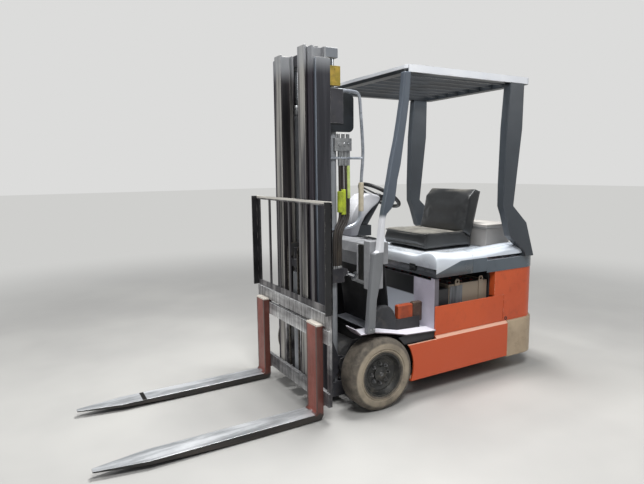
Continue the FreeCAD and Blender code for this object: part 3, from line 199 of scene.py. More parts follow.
bpy.context.scene.collection.objects.link(floor)

# Studio light: a pale surround and four large soft lamps, so that colours show about as they are written.
# The camera sees the surround paler than it lights.
world = bpy.data.worlds.new("studio")
world.use_nodes = True
tree = world.node_tree
rays = add(tree, "ShaderNodeLightPath").outputs
seen = maths(tree, "MAXIMUM", rays["Is Camera Ray"], rays["Is Transmission Ray"])
around = tree.nodes["Background"]
fill(tree, around, {"Color": "#DFE3EA", "Strength": 0.24})
backdrop = add(tree, "ShaderNodeBackground", {"Color": "#DCDCDB", "Strength": 1.0})
choice = add(tree, "ShaderNodeMixShader", {0: seen, 1: around.outputs[0], 2: backdrop.outputs[0]})
fill(tree, tree.nodes["World Output"], {"Surface": choice.outputs[0]})
bpy.context.scene.world = world
LAMPS = (("key", (1.2, 3.2, 5.0), 1.6, 200), ("fill", (-4.2, 3.6, 3.4), 2.4, 45),      # place, size, watts
         ("front", (5.0, -1.5, 3.2), 2.0, 90), ("overhead", (-0.5, 0.0, 5.2), 1.2, 300))
LIT_SPOT = Vector((0, 0, 0.9))
for name, place, size, watts in LAMPS:
    light = bpy.data.lights.new(name, "AREA")
    light.energy = watts
    light.size = size
    lamp = bpy.data.objects.new(name, light)
    lamp.matrix_world = (LIT_SPOT - Vector(place)).to_track_quat("-Z", "Y").to_matrix().to_4x4()
    lamp.matrix_world.translation = place
    bpy.context.scene.collection.objects.link(lamp)

# Drive tyres: solid rubber pressed on steel rims, cured in a mould and worn to a dusty grey-brown,
# with a pale scuffed band on the sidewall and a narrow moulded groove inside it.
SHARP = math.radians(32)                # edges that turn by more than this are sharp, or rounded


def made(name, bm, finish, body, stands_for=(), edge=0.0):
    """Closes a bmesh as a piece that rides on body: faces outwards, its edges rounded by edge metres."""
    bmesh.ops.recalc_face_normals(bm, faces=bm.faces)
    mesh = bpy.data.meshes.new(name)
    bm.to_mesh(mesh)
    bm.free()
    mesh.materials.append(finish)
    mesh.shade_smooth()
    mesh.set_sharp_from_angle(angle=SHARP)
    piece = bpy.data.objects.new(name, mesh)
    bpy.context.scene.collection.objects.link(piece)
    if edge:
        rounding = piece.modifiers.new("rounded", "BEVEL")
        rounding.width = edge
        rounding.segments = 2
        rounding.limit_method = "ANGLE"
        rounding.angle_limit = SHARP
        rounding.harden_normals = True
    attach(piece, body)
    if stands_for:
        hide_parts(*stands_for)
    return piece


def spun(bm, centre, axis, profile, steps=96):
    """Turns a closed profile of (along the axis, radius) pairs about the axis through centre."""
    along = Vector(axis)
    out = Vector((0, 0, 1)) if abs(along.z) < 0.9 else Vector((1, 0, 0))
    out = (out - along * out.dot(along)).normalized()
    verts = [bm.verts.new(Vector(centre) + along * a + out * r) for a, r in profile]
    edges = [bm.edges.new((verts[i - 1], verts[i])) for i in range(len(verts))]
    bmesh.ops.spin(bm, geom=verts + edges, cent=centre, axis=along, angle=math.tau, steps=steps, use_merge=True)
    bmesh.ops.remove_doubles(bm, verts=bm.verts, dist=0.00001)


def block(bm, one, other, matrix=None):
    """A box between two opposite corners, turned by matrix."""
    got = bmesh.ops.create_cube(bm, size=1)["verts"]
    bmesh.ops.scale(bm, vec=[abs(b - a) for a, b in zip(one, other)], verts=got)
    bmesh.ops.translate(bm, vec=[(a + b) / 2 for a, b in zip(one, other)], verts=got)
    if matrix:
        bmesh.ops.transform(bm, matrix=matrix, verts=got)


def rod(bm, start, end, radius, end_radius=None, sides=24):
    """A round bar, or a six-sided one where sides is 6."""
    start, end = Vector(start), Vector(end)
    got = bmesh.ops.create_cone(bm, cap_ends=True, segments=sides, radius1=radius,
                                radius2=radius if end_radius is None else end_radius,
                                depth=(end - start).length)["verts"]
    turn = (end - start).to_track_quat("Z", "Y").to_matrix().to_4x4()
    bmesh.ops.transform(bm, matrix=Matrix.Translation((start + end) / 2) @ turn, verts=got)


def bumped(tree, height, depth, strength, under=None):
    """A normal raised by height over depth metres, on top of another where under is given."""
    inputs = {"Strength": strength, "Distance": depth, "Height": height}
    return add(tree, "ShaderNodeBump", inputs | ({"Normal": under} if under else {})).outputs[0]


def rubber(name, centre, radius, bore):
    """Solid black rubber, moulded: dust has turned it grey-brown, and its flanks are scuffed pale in a ring."""
    mat, tree, shader, place = started(name)
    on_axle = add(tree, "ShaderNodeMapping", {"Vector": place, "Location": [-centre[0], 0, -centre[2]],
                                              "Scale": [1, 0, 1]}).outputs[0]
    distance = add(tree, "ShaderNodeVectorMath", {0: on_axle}, operation="LENGTH").outputs["Value"]
    width = radius - bore
    band = maths(tree, "SUBTRACT", ramped(tree, distance, bore + width * 0.10, bore + width * 0.17),
                 ramped(tree, distance, radius - width * 0.42, radius - width * 0.26))
    scuffed = spread(tree, cloudy(tree, place, 60, 6.0, 0.65), 0.35, 0.9, 0.35, 0.6)
    base = mixed(tree, patchy(tree, place, 26, 8.0, 0.7, high=0.7), "#4F4A43", "#6F675C")
    fill(tree, shader, {"Base Color": mixed(tree, maths(tree, "MULTIPLY", band, scuffed), base, "#A69A87"),
                        "Roughness": 0.82, "Normal": bumped(tree, cloudy(tree, place, 5, 6.0, 0.7), 0.0012, 0.5)})
    return mat


TYRE_GROOVE = 0.004
for side, hand in (("left", 1), ("right", -1)):
    low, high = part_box(f"drive_tyre_{side}")
    rim_low, rim_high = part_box(f"drive_rim_{side}")
    radius, bore = high[2] / 2, (rim_high[2] - rim_low[2]) / 2
    centre = Vector((axle_x, (low[1] + high[1]) / 2, radius))
    half = (high[1] - low[1]) / 2
    flank = [(half - 0.010, bore), (half - 0.004, bore + 0.003), (half - 0.002, bore + 0.016),
             (half - 0.002 - TYRE_GROOVE, bore + 0.019), (half - 0.001 - TYRE_GROOVE, bore + 0.023),
             (half, bore + 0.027), (half, radius - 0.030), (half - 0.004, radius - 0.022),
             (half - 0.012, radius - 0.009), (half - 0.024, radius - 0.002), (half - 0.036, radius)]
    bm = bmesh.new()
    spun(bm, centre, (0, 1, 0), flank + [(-a, r) for a, r in reversed(flank)], 128)
    made(f"solid_tyre_{side}", bm, rubber(f"rubber_moulded_{side}", centre, radius, bore), f"wheel_{side}",
         (f"drive_tyre_{side}",))


# Drive rims: pressed steel discs welded in their barrels, painted black and dusty, each with a ring of plated
# nuts round a bearing cap, and a brake drum behind.
def coated(name, colour, faded, rough, patch=180, worn=None, chips=0.5, edge_mm=3.0, ripple=0.0, ripple_mm=30,
           dirt=None, dirt_share=0.3, streak=(1, 1, 1), metallic=0.0):
    """Paint or bare metal: colour drifting to faded in patches, rubbed to worn at its edges, with dirt."""
    mat, tree, shader, place = started(name)
    tone = mixed(tree, patchy(tree, place, patch, 5.0, 0.6, streak, 0.34, 0.68), colour, faded)
    if dirt:
        film = patchy(tree, place, 34, 8.0, 0.7, streak, 0.5, 0.72)
        tone = mixed(tree, maths(tree, "MULTIPLY", film, dirt_share), tone, dirt)
    if worn:
        rounded = add(tree, "ShaderNodeBevel", {"Radius": edge_mm / 1000}, samples=4).outputs[0]
        true = add(tree, "ShaderNodeNewGeometry").outputs["Normal"]
        agree = add(tree, "ShaderNodeVectorMath", {0: rounded, 1: true}, operation="DOT_PRODUCT").outputs["Value"]
        broken = patchy(tree, place, 22, 6.0, 0.7, low=0.62 - chips * 0.35, high=0.70 - chips * 0.25)
        tone = mixed(tree, maths(tree, "MULTIPLY", ramped(tree, agree, 0.995, 0.90), broken), tone, worn)
    sheen = spread(tree, cloudy(tree, place, 45, 6.0, 0.6, streak), rough - 0.07, rough + 0.09, 0.3, 0.7)
    fill(tree, shader, {"Base Color": tone, "Metallic": metallic, "Roughness": sheen})
    if ripple:
        fill(tree, shader, {"Normal": bumped(tree, cloudy(tree, place, ripple_mm, 3.0, 0.5), ripple / 1000, 1.0)})
    return mat


# Black enamel brushed on pressed steel: near black, dusty, dull
rim_black = coated("enamel_brushed_black", "#1C1C1B", "#2F2F2D", 0.5, 90, dirt="#6A655C", dirt_share=0.45,
                   worn="#7E7A72", chips=0.4)
# Zinc plate on nuts and caps: bright cold grey with a satin sheen
zinc = coated("steel_zinc_plated", "#B9BABA", "#8F9193", 0.34, 20, metallic=0.85)
# The same plate on the wheels' nuts, dulled by brake dust to a mottled dark grey
nut_steel = coated("steel_zinc_plated_dusty", "#77787A", "#4C4B49", 0.42, 14, metallic=0.6)
NUT_CIRCLE = 0.062
RIM_FACE = 0.031                        # the disc's face, outward from the tyre's middle
for side, hand in (("left", 1), ("right", -1)):
    low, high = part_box(f"drive_rim_{side}")
    centre = Vector((axle_x, (low[1] + high[1]) / 2, (low[2] + high[2]) / 2))
    half, bore = (high[1] - low[1]) / 2, (high[2] - low[2]) / 2
    out = Vector((0, hand, 0))
    shell = [(a + RIM_FACE, r) for a, r in (
        (-0.012, 0), (0.024, 0), (0.024, 0.022), (0.018, 0.030), (0.014, 0.044), (0.002, 0.046), (0, 0.052),
        (0, 0.084), (0.010, 0.100), (0.010, 0.112))]
    shell += [(half - 0.010, bore - 0.014), (half, bore - 0.010), (half, bore), (-half, bore),
              (-half, bore - 0.012), (RIM_FACE - 0.012, bore - 0.016)]
    bm = bmesh.new()
    spun(bm, centre, out, shell)
    made(f"rim_disc_{side}", bm, rim_black, f"wheel_{side}", (f"drive_rim_{side}",))
    bm = bmesh.new()
    for number in range(8):
        turn = math.tau * number / 8
        spot = centre + Vector((math.cos(turn), 0, math.sin(turn))) * NUT_CIRCLE + out * RIM_FACE
        rod(bm, spot - out * 0.001, spot + out * 0.004, 0.0125, sides=20)
        rod(bm, spot + out * 0.003, spot + out * 0.014, 0.0095, 0.0088, sides=6)
        rod(bm, spot + out * 0.012, spot + out * 0.021, 0.0050, sides=12)
    rod(bm, centre + out * (RIM_FACE + 0.022), centre + out * (RIM_FACE + 0.028), 0.016, 0.011)
    made(f"wheel_nuts_{side}", bm, nut_steel, f"wheel_{side}")


# Rear steer wheels: two smaller solid tyres side by side under the counterweight, on a forked bracket that
# turns on a slew ring. Cast rims, black; they are seen through the opening under the frame.
def merged(node):
    """The CAD node's shape as one closed mesh with whole flats."""
    bm = bmesh.new()
    bm.from_mesh(nodes[node].data)
    bmesh.ops.remove_doubles(bm, verts=bm.verts, dist=0.00002)
    bmesh.ops.dissolve_limit(bm, angle_limit=math.radians(0.6), verts=bm.verts, edges=bm.edges)
    return bm


def carrier(node):
    """The body that the CAD node rides on."""
    return body_of(nodes[node])[0]


def softened(node, finish, edge=0.003, extra=None):
    """The CAD node's shape with its edges eased, as the real part's are."""
    bm = merged(node)
    if extra:
        extra(bm)
    made(node + "_shape", bm, finish, carrier(node), (node,), edge)


low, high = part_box("steer_tyres")
steer_centre = Vector(((low[0] + high[0]) / 2, 0, high[2] / 2))
steer_radius = high[2] / 2
rim_low, rim_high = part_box("steer_rims")
steer_bore = (rim_high[2] - rim_low[2]) / 2
bm = bmesh.new()
hubs = bmesh.new()
for hand in (1, -1):
    inner, outer = 0.030, high[1]
    section = [(inner + 0.004, steer_bore), (inner, steer_bore + 0.006), (inner, steer_radius - 0.016),
               (inner + 0.012, steer_radius - 0.002), (inner + 0.022, steer_radius), (outer - 0.022, steer_radius),
               (outer - 0.010, steer_radius - 0.003), (outer, steer_radius - 0.018), (outer, steer_bore + 0.022),
               (outer - 0.004, steer_bore + 0.018), (outer - 0.004, steer_bore)]
    spun(bm, steer_centre, (0, hand, 0), section, 96)
    for number in range(6):
        turn = math.tau * number / 6
        spot = steer_centre + Vector((math.cos(turn), 0, math.sin(turn))) * 0.048
        rod(hubs, spot + Vector((0, hand * 0.092, 0)), spot + Vector((0, hand * 0.103, 0)), 0.009, sides=6)
steer_rubber = rubber("rubber_moulded_rear", steer_centre, steer_radius, steer_bore)
made("solid_tyres_rear", bm, steer_rubber, carrier("steer_tyres"), ("steer_tyres",))
made("wheel_nuts_rear", hubs, zinc, carrier("steer_rims"))
softened("steer_rims", rim_black, 0.002)
# Grey cast iron, sand-cast and painted black: a low pebbled skin under dust
cast_black = coated("iron_sand_cast_black", "#2C2C2D", "#3D3C3B", 0.62, 120, dirt="#5E5850", ripple=0.5,
                    ripple_mm=7, worn="#6B675F", chips=0.3)
softened("steer_bracket", cast_black, 0.003)
softened("drive_axle", cast_black, 0.003)
softened("drive_motor", cast_black, 0.002)

# Frame and side plates: folded and welded steel plate, sprayed orange enamel that dust has flattened; the
# lower edges are scuffed. The long side plate has a narrow ledge along its foot and a lock in its rear corner.
# Orange enamel, sprayed: even and slightly dulled, with brown dust and pale rubbed edges
orange = coated("enamel_sprayed_orange", "#CC5527", "#BE4C22", 0.36, 420, worn="#E29A78", chips=0.65,
                edge_mm=4.0, ripple=0.12, ripple_mm=9, dirt="#8E3F22", dirt_share=0.25)
# Black enamel, sprayed on what lies inside the frame: satin, brown with dust, grey where it is knocked
frame_black = coated("enamel_sprayed_black", "#202022", "#2E2E30", 0.5, 160, worn="#66625C", chips=0.35,
                     dirt="#4B463F", dirt_share=0.4)
softened("side_panels", orange, 0.005)
softened("frame_box", frame_black, 0.002)
softened("tilt_anchors", frame_black, 0.002)
lock = bmesh.new()
panel_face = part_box("side_panels")[1][1]
for hand in (1, -1):
    spun(lock, (axle_x - 1.111, hand * (panel_face + 0.001), 0.408), (0, hand, 0),
         [(-0.004, 0), (-0.004, 0.013), (0.001, 0.013), (0.002, 0.008), (-0.002, 0.006), (-0.002, 0)], 24)
made("panel_locks", lock, frame_black, "chassis")


# Steps and fenders: folded sheet steel over the front wheels, sprayed lilac-grey, with a near-white painted
# highlight on top and a darker painted shade on the sides; the floor plates behind them are ribbed against
# slipping.
def lit_and_shaded_paint(name, top, side, rough, **coat):
    """Paint whose upward faces are top and whose walls are side, as painted light: lit tops, shaded walls."""
    mat = coated(name, top, top, rough, **coat)
    tree = mat.node_tree
    shader = tree.nodes["Principled BSDF"]
    now = shader.inputs["Base Color"].links[0].from_socket
    fill(tree, shader, {"Base Color": mixed(tree, ramped(tree, facing(tree, "Z"), 0.38, 0.62), side, now)})
    return mat


# Lilac-grey enamel, sprayed: near white on its upward faces as a painted highlight, brown-grey on its walls as
# painted shade
step_lilac = lit_and_shaded_paint("enamel_sprayed_lilac", "#DAD8E0", "#6E666C", 0.42, worn="#EDEBEF", chips=0.8, patch=120,
                       edge_mm=5.0)
# The sills' enamel: orange, and pale peach along the upward ledge as a painted highlight
sill_orange = lit_and_shaded_paint("enamel_sprayed_sill", "#E8B49A", "#C44F24", 0.38, worn="#E29A78", chips=0.6, patch=420)
# Ribbed rubber, moulded: dull charcoal with dust between low ribs
floor_grey = coated("rubber_ribbed_grey", "#3A3B3E", "#2C2D2F", 0.72, 140, dirt="#57524A", ripple=1.2,
                    ripple_mm=12)
# The same mat where feet stand: pale blue-grey on top as a painted highlight, near black on its walls as painted
# shade
floor_pale = lit_and_shaded_paint("rubber_ribbed_pale", "#B9BDC5", "#232427", 0.6, ripple=1.0, ripple_mm=12, patch=140,
                       dirt="#75726E")
softened("frame_sills", sill_orange, 0.006)
softened("fenders", step_lilac, 0.008)
softened("step_panels", floor_grey, 0.004)
softened("floor_board", floor_pale, 0.003)
bulkhead_paint, tree, shader, place = started("enamel_sprayed_bulkhead")
# Sprayed enamel: lilac-white near the step, black painted shade across the middle under the hood over a pale foot,
# grey on the posts' sides
cloud = patchy(tree, place, 120, 5.0, 0.6)
near = ramped(tree, part(tree, place, "Y"), 0.262, 0.268)
foot = ramped(tree, part(tree, place, "Z"), 0.630, 0.620)
# Above the foot the face is painted shade, black, where the hood overhangs it
face = mixed(tree, near, mixed(tree, foot, "#17181A", "#C0C4CC"), mixed(tree, cloud, "#C9C5D2", "#B6B1BF"))
post = mixed(tree, cloud, "#6F6A72", "#5E5A61")
fill(tree, shader, {"Base Color": mixed(tree, ramped(tree, facing(tree, "X"), 0.4, 0.7), post, face),
                    "Roughness": 0.45})
softened("battery_bulkhead", bulkhead_paint, 0.002)


def cut_plate(bm, outline, y, across, ahead=1):
    """A plate across the truck from y: its side view in mm ahead of the drive axle and above the floor."""
    ring = [bm.verts.new((axle_x + ahead * x / 1000, y, z / 1000)) for x, z in outline]
    moved = bmesh.ops.extrude_face_region(bm, geom=[bm.faces.new(ring)])["geom"]
    bmesh.ops.translate(bm, vec=(0, across, 0), verts=[v for v in moved if isinstance(v, bmesh.types.BMVert)])


# Along the step's inner edge: a rubber boot over the brake linkage, a gusset, a plug's housing and their tray
BOOT_SIDE = [(-20, 432), (-16, 520), (20, 580), (84, 616), (146, 612), (186, 572), (204, 520), (208, 432)]
bm = bmesh.new()
cut_plate(bm, BOOT_SIDE, 0.336, 0.050, ahead=-1)
made("linkage_boot", bm, floor_grey, "chassis", edge=0.012)
# Gusset: the frame's enamel under oily dirt. Housing: phenolic resin, moulded, a dull dark brown
gusset_orange = coated("enamel_sprayed_gusset", "#AE4A22", "#7F3419", 0.45, 60, dirt="#3B2A22", dirt_share=0.6)
plug_brown = coated("phenolic_moulded_brown", "#33261F", "#4A352A", 0.5, 50, dirt="#6B5A4A", dirt_share=0.4)
for name, one, other, finish, edge, slot in (
        ("floor_gusset", (-0.345, 0.336, 0.505), (-0.222, 0.380, 0.600), gusset_orange, 0.010, "frame_paint"),
        ("plug_housing", (-0.428, 0.336, 0.470), (-0.346, 0.378, 0.606), plug_brown, 0.012, "dark_plastic"),
        ("linkage_tray", (-0.400, 0.330, 0.425), (-0.030, 0.384, 0.512), frame_black, 0.004, "dark_plastic")):
    bm = bmesh.new()
    block(bm, Vector(one) + Vector((axle_x, 0, 0)), Vector(other) + Vector((axle_x, 0, 0)))
    made(name, bm, finish, "chassis", edge=edge)

# Traction battery: lead cells in a welded steel tray, tray dip-coated beige; pale webbing straps go over it for
# lifting. The cell lids are moulded black polypropylene, joined by lead bars, and each cell has a red vent plug.
# Beige dip coat, chalky, with dust in runs; its upward faces paler as a painted highlight
tray_beige = lit_and_shaded_paint("steel_dip_coated_beige", "#A39A8A", "#85796A", 0.5, worn="#B9B0A2", chips=0.5, patch=220,
                       dirt="#6B6356", dirt_share=0.3)
# Black polypropylene, moulded: satin, dusty
lid_black = coated("polypropylene_moulded_black", "#1F2022", "#2B2C2E", 0.48, 80, dirt="#54504A", dirt_share=0.3)
# Cast lead: soft dull grey. Red polypropylene, moulded: satin
lead_grey = coated("lead_cast_grey", "#8B8D90", "#6F7174", 0.5, 25, metallic=0.7)
vent_red = coated("polypropylene_moulded_red", "#A3352B", "#8C2C25", 0.42, 30)
# Ribbed steel sheet, sprayed grey: upright light and dark stripes
ribbed_grey = coated("steel_ribbed_sprayed_grey", "#63666A", "#34363A", 0.5, 14, streak=(1, 1, 14), dirt="#2A2B2D")
softened("battery_case", tray_beige, 0.003)
softened("battery_spacer", frame_black, 0.002)
low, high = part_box("battery_case")
spacer, lids, bars, vents = (bmesh.new() for _ in range(4))
for hand in (1, -1):
    block(spacer, (axle_x - 0.722, hand * (high[1] - 0.004), 0.440),
          (axle_x - 0.610, hand * (high[1] + 0.004), 0.690))
made("battery_spacer_plates", spacer, ribbed_grey, "chassis", edge=0.002)
ROWS, COLUMNS = 3, 8
TRAY_WALL, LID_GAP = 0.026, 0.003
lid_top = high[2] - 0.036
wide = (high[0] - low[0] - 2 * TRAY_WALL) / ROWS
long = (high[1] - low[1] - 2 * TRAY_WALL) / COLUMNS
for row in range(ROWS):
    for column in range(COLUMNS):
        x, y = low[0] + TRAY_WALL + wide * row, low[1] + TRAY_WALL + long * column
        block(lids, (x + LID_GAP, y + LID_GAP, lid_top - 0.030),
              (x + wide - LID_GAP, y + long - LID_GAP, lid_top - 0.008))
        middle = Vector((x + wide / 2, y + long / 2, lid_top - 0.009))
        rod(lids, middle, middle + Vector((0, 0, 0.006)), 0.016, sides=20)
        rod(vents, middle + Vector((0, 0, 0.005)), middle + Vector((0, 0, 0.010)), 0.011, 0.009, sides=12)
        if column < COLUMNS - 1:
            end = y + long
            block(bars, (x + 0.014, end - 0.024, lid_top - 0.009), (x + 0.030, end + 0.024, lid_top - 0.003))
made("battery_lids", lids, lid_black, "chassis", edge=0.0015)
made("battery_bars", bars, lead_grey, "chassis", edge=0.001)
made("battery_vents", vents, vent_red, "chassis")

# Counterweight: grey iron sand-cast in one block, filled, rubbed down and sprayed orange. The lower corners are a
# separate casting, sprayed cream. A drawbar slot with a drop pin is in its back.
# Orange enamel on cast iron: a low pebbled skin with dirt in its hollows
iron_orange = coated("iron_cast_sprayed_orange", "#BC4A22", "#CB5629", 0.38, 300, worn="#E8A88A", chips=0.5,
                     edge_mm=6.0, ripple=0.5, ripple_mm=26, dirt="#7C361D", dirt_share=0.3)
# Cream enamel on cast iron: the same skin, duller and more stained near the floor
iron_cream = coated("iron_cast_sprayed_cream", "#B9A68B", "#A39078", 0.45, 160, worn="#D8C9AF", chips=0.5,
                    edge_mm=6.0, ripple=0.5, ripple_mm=26, dirt="#6F6450", dirt_share=0.35)
softened("counterweight", iron_orange, 0.012)
softened("counterweight_base", iron_cream, 0.010)

# Battery hood: pressed steel lid, flat under the seat and drawn up into rounded shoulders along its long edges,
# sprayed a glossy blue-white with a painted reflection of the lamps on it; the slate skirt below is masked off and
# its edge swings down toward the front corner. Low on the front wall is painted shade.
hood_low, hood_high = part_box("battery_hood")
rear_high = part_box("rear_cover")[1]
SEAM = axle_x - 0.768       # behind this the lid is narrow, so that it swings up between the guard's legs


def lid_paint(name):
    """Gloss blue-white and a painted reflection above the curve and on tops; slate below; painted shade low in
    front.
    """
    mat, tree, shader, place = started(name)
    height = part(tree, place, "Z")
    masked = spread(tree, part(tree, place, "X"), 0.870, 0.800, axle_x - 0.66, axle_x - 0.44)
    above = ramped(tree, maths(tree, "SUBTRACT", height, masked), -0.002, 0.002)
    # Upward faces are pale as well: a painted reflection of the lamps above
    pale = maths(tree, "MAXIMUM", above, ramped(tree, facing(tree, "Z"), 0.80, 0.88))
    gloss = mixed(tree, patchy(tree, place, 500, 3.0, 0.5, (1, 2.5, 1)), "#D2DAE4", "#F3F5F7")
    slate = mixed(tree, patchy(tree, place, 160, 5.0), "#3C464F", "#4A555F")
    # Painted shade: black low on the front wall, under the lid's lip
    low_wall = maths(tree, "MULTIPLY", ramped(tree, facing(tree, "X"), 0.5, 0.7),
                     ramped(tree, height, 0.832, 0.828))
    fill(tree, shader, {"Base Color": mixed(tree, low_wall, mixed(tree, pale, slate, gloss), "#08090A"),
                        "Roughness": spread(tree, cloudy(tree, place, 60, 6.0, 0.65), 0.14, 0.30, 0.3, 0.7),
                        "Coat Weight": spread(tree, low_wall, 0.6, 0.0), "Coat Roughness": 0.1})
    return mat


def eased(value, low, high):
    """0 below low, 1 above high, smooth between."""
    t = min(max((value - low) / (high - low), 0.0), 1.0)
    return t * t * (3 - 2 * t)


def lid_height(x, y):
    """The lid's top: low under the seat, shoulders highest at the front and the rear, rolled down to its rims."""
    behind = axle_x - x
    shoulder = 0.016 + 0.022 * eased(behind, 0.80, 1.20) + 0.020 * (1 - eased(behind, 0.44, 0.66))
    lift = shoulder * eased(abs(y), 0.26, 0.41)
    side = min(max((abs(y) - 0.425) / 0.065, 0.0), 1.0)
    front = min(max((x - hood_high[0] + 0.030) / 0.030, 0.0), 1.0)
    rolled = 0.050 * (1 - math.sqrt(1 - side * side)) + 0.016 * (1 - math.sqrt(1 - front * front))
    return hood_high[2] - 0.002 + lift - rolled


def lid_sheet(bm, xs, ys, inward=1.0):
    """Lays the lid's top over a grid of places and folds its rim down; behind the seam it is narrower."""
    bmesh.ops.create_grid(bm, x_segments=len(xs) - 1, y_segments=len(ys) - 1, size=1)
    for vert in [v for v in bm.verts if v.co.z == 0]:
        x = xs[round((vert.co.x + 1) / 2 * (len(xs) - 1))]
        y = ys[round((vert.co.y + 1) / 2 * (len(ys) - 1))] * (inward if x < SEAM else 1.0)
        vert.co = (x, y, lid_height(x, y))
    skirt_foot = rear_high[2] + 0.002       # behind the rear cover's front the skirt ends on the cover
    rim = [e for e in bm.edges if e.is_boundary and (min(v.co.x for v in e.verts) > rear_high[0]
                                                     or min(v.co.z for v in e.verts) > skirt_foot + 0.001)]
    folded = [v for v in bmesh.ops.extrude_edge_only(bm, edges=rim)["geom"] if isinstance(v, bmesh.types.BMVert)]
    for vert in folded:
        vert.co.z = hood_low[2] if vert.co.x > rear_high[0] else skirt_foot


half = hood_high[1]
leg_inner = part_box("guard_rear_legs")[1][1] - 0.066
ys = [0.0, 0.08, 0.16, 0.24, 0.28, 0.31, 0.34, 0.37, 0.40, 0.425, 0.445, 0.460, 0.472, 0.481, 0.487, half]
ys = [-y for y in reversed(ys[1:])] + ys
xs = [hood_low[0] + (rear_high[0] - 0.001 - hood_low[0]) * n / 12 for n in range(13)]
xs += [rear_high[0] + 0.001 + (SEAM - 0.002 - rear_high[0]) * n / 4 for n in range(5)]
behind_seam = list(xs)
xs += [SEAM + 0.001 + (hood_high[0] - 0.032 - SEAM) * n / 11 for n in range(12)]
xs += [hood_high[0] - step for step in (0.023, 0.016, 0.010, 0.005, 0.002, 0.0)]
bm = bmesh.new()
lid_sheet(bm, xs, ys, leg_inner / half)
hood_shape = made("hood_lid", bm, lid_paint("enamel_gloss_blue_white"), "hood", ("battery_hood",))
sheet = hood_shape.modifiers.new("sheet", "SOLIDIFY")
sheet.thickness = 0.004
sheet.offset = -1.0
# The shoulders beside the guard's feet stay on the truck when the lid swings up
outer_ys = [leg_inner + 0.003 + (half - leg_inner - 0.003) * step for step in (0, 0.35, 0.6, 0.78, 0.9, 0.97, 1.0)]
shoulders = bmesh.new()
for hand in (1, -1):
    lid_sheet(shoulders, behind_seam, sorted(hand * y for y in outer_ys))
made("rear_shoulders", shoulders, lid_paint("enamel_gloss_shoulders"), "chassis")
softened("rear_cover", lid_paint("enamel_gloss_rear_cover"), 0.008)
# Latch: a black lever on a black plate, screwed to the lid's front wall
latch = bmesh.new()
block(latch, (hood_high[0] - 0.004, 0.225, 0.790), (hood_high[0] + 0.004, 0.285, 0.838))
block(latch, (hood_high[0] + 0.002, 0.240, 0.806), (hood_high[0] + 0.014, 0.282, 0.822))
made("hood_latch", latch, lid_black, "hood", edge=0.002)

# Seat: polyurethane foam on a sprung pan, upholstered in black vinyl with a fine leather grain. The cushion's
# panels are sewn with two welts round their edges; the pan under them is black moulded plastic.
vinyl, tree, shader, place = started("vinyl_grained_black")
# Grained vinyl: 2 mm pebbles, drawn a little coarse so that they show, and a beige painted sheen in patches on its
# upward faces
pebbles = add(tree, "ShaderNodeTexVoronoi", {"Vector": place, "Scale": 1 / 0.004, "Randomness": 1.0})
grain = pebbles.outputs["Distance"]
folds = cloudy(tree, place, 70, 5.0, 0.6)
painted_sheen = maths(tree, "MULTIPLY", ramped(tree, facing(tree, "Z"), 0.55, 0.98),
               patchy(tree, place, 220, 5.0, 0.6, low=0.36, high=0.62))
base = mixed(tree, ramped(tree, folds, 0.35, 0.65), "#0D0F10", "#191B1C")
fill(tree, shader, {"Base Color": mixed(tree, maths(tree, "MULTIPLY", painted_sheen, 0.78), base, "#98948A"),
                    "Roughness": 0.42, "Sheen Weight": 0.15,
                    "Normal": bumped(tree, folds, 0.003, 0.5, bumped(tree, grain, 0.0006, 0.35))})
SHRUNK = 0.008                          # the cloth starts this far inside the pad,
SWELL = 0.012                           # may move this far, as a firm pad does,
PROUD = 0.008                           # and may stand this far outside the pad's box
CLOTH_FRAMES = 12


def baked(thing):
    """The object's mesh as its modifiers leave it."""
    bpy.context.view_layer.update()
    return bpy.data.meshes.new_from_object(thing.evaluated_get(bpy.context.evaluated_depsgraph_get()))


def cushion(node, name):
    """A copy of the CAD pad, remeshed, swollen by pressure in Cloth, held within SWELL, then smoothed."""
    bm = merged(node)
    low, high = (Vector(corner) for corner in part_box(node))
    middle = (low + high) / 2
    scales = [(size - 2 * SHRUNK) / size for size in high - low]
    bmesh.ops.scale(bm, vec=scales, space=Matrix.Translation(-middle), verts=bm.verts)
    bmesh.ops.triangulate(bm, faces=bm.faces)
    mesh = bpy.data.meshes.new(name)
    bm.to_mesh(mesh)
    bm.free()
    pad = bpy.data.objects.new(name, mesh)
    bpy.context.scene.collection.objects.link(pad)
    remesh = pad.modifiers.new("remesh", "REMESH")
    remesh.mode = "VOXEL"
    remesh.voxel_size = 0.006
    relax = pad.modifiers.new("relax", "SMOOTH")
    relax.iterations = 8
    even = baked(pad)
    pad.modifiers.clear()
    pad.data = even
    start = [v.co.copy() for v in even.vertices]
    cloth = pad.modifiers.new("cloth", "CLOTH")
    cloth.settings.use_pressure = True
    cloth.settings.uniform_pressure_force = 1.6
    cloth.settings.bending_stiffness = 12.0
    cloth.settings.shrink_min = -0.04
    cloth.settings.effector_weights.gravity = 0.0
    for frame_number in range(1, CLOTH_FRAMES + 1):
        bpy.context.scene.frame_set(frame_number)
    swollen = baked(pad)
    pad.modifiers.clear()
    pad.data = swollen
    for vert, old in zip(swollen.vertices, start):
        move = vert.co - old
        if move.length > SWELL:
            vert.co = old + move * (SWELL / move.length)
    bpy.context.scene.frame_set(1)
    for vert in pad.data.vertices:
        vert.co = [min(max(c, lo - PROUD), hi + PROUD) for c, lo, hi in zip(vert.co, low, high)]
    pad.data.materials.clear()
    pad.data.materials.append(vinyl)
    pad.data.shade_smooth()
    calm = pad.modifiers.new("calm", "SMOOTH")
    calm.iterations = 5
    fine = pad.modifiers.new("fine", "SUBSURF")
    fine.levels = fine.render_levels = 1
    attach(pad, carrier(node))
    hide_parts(node)


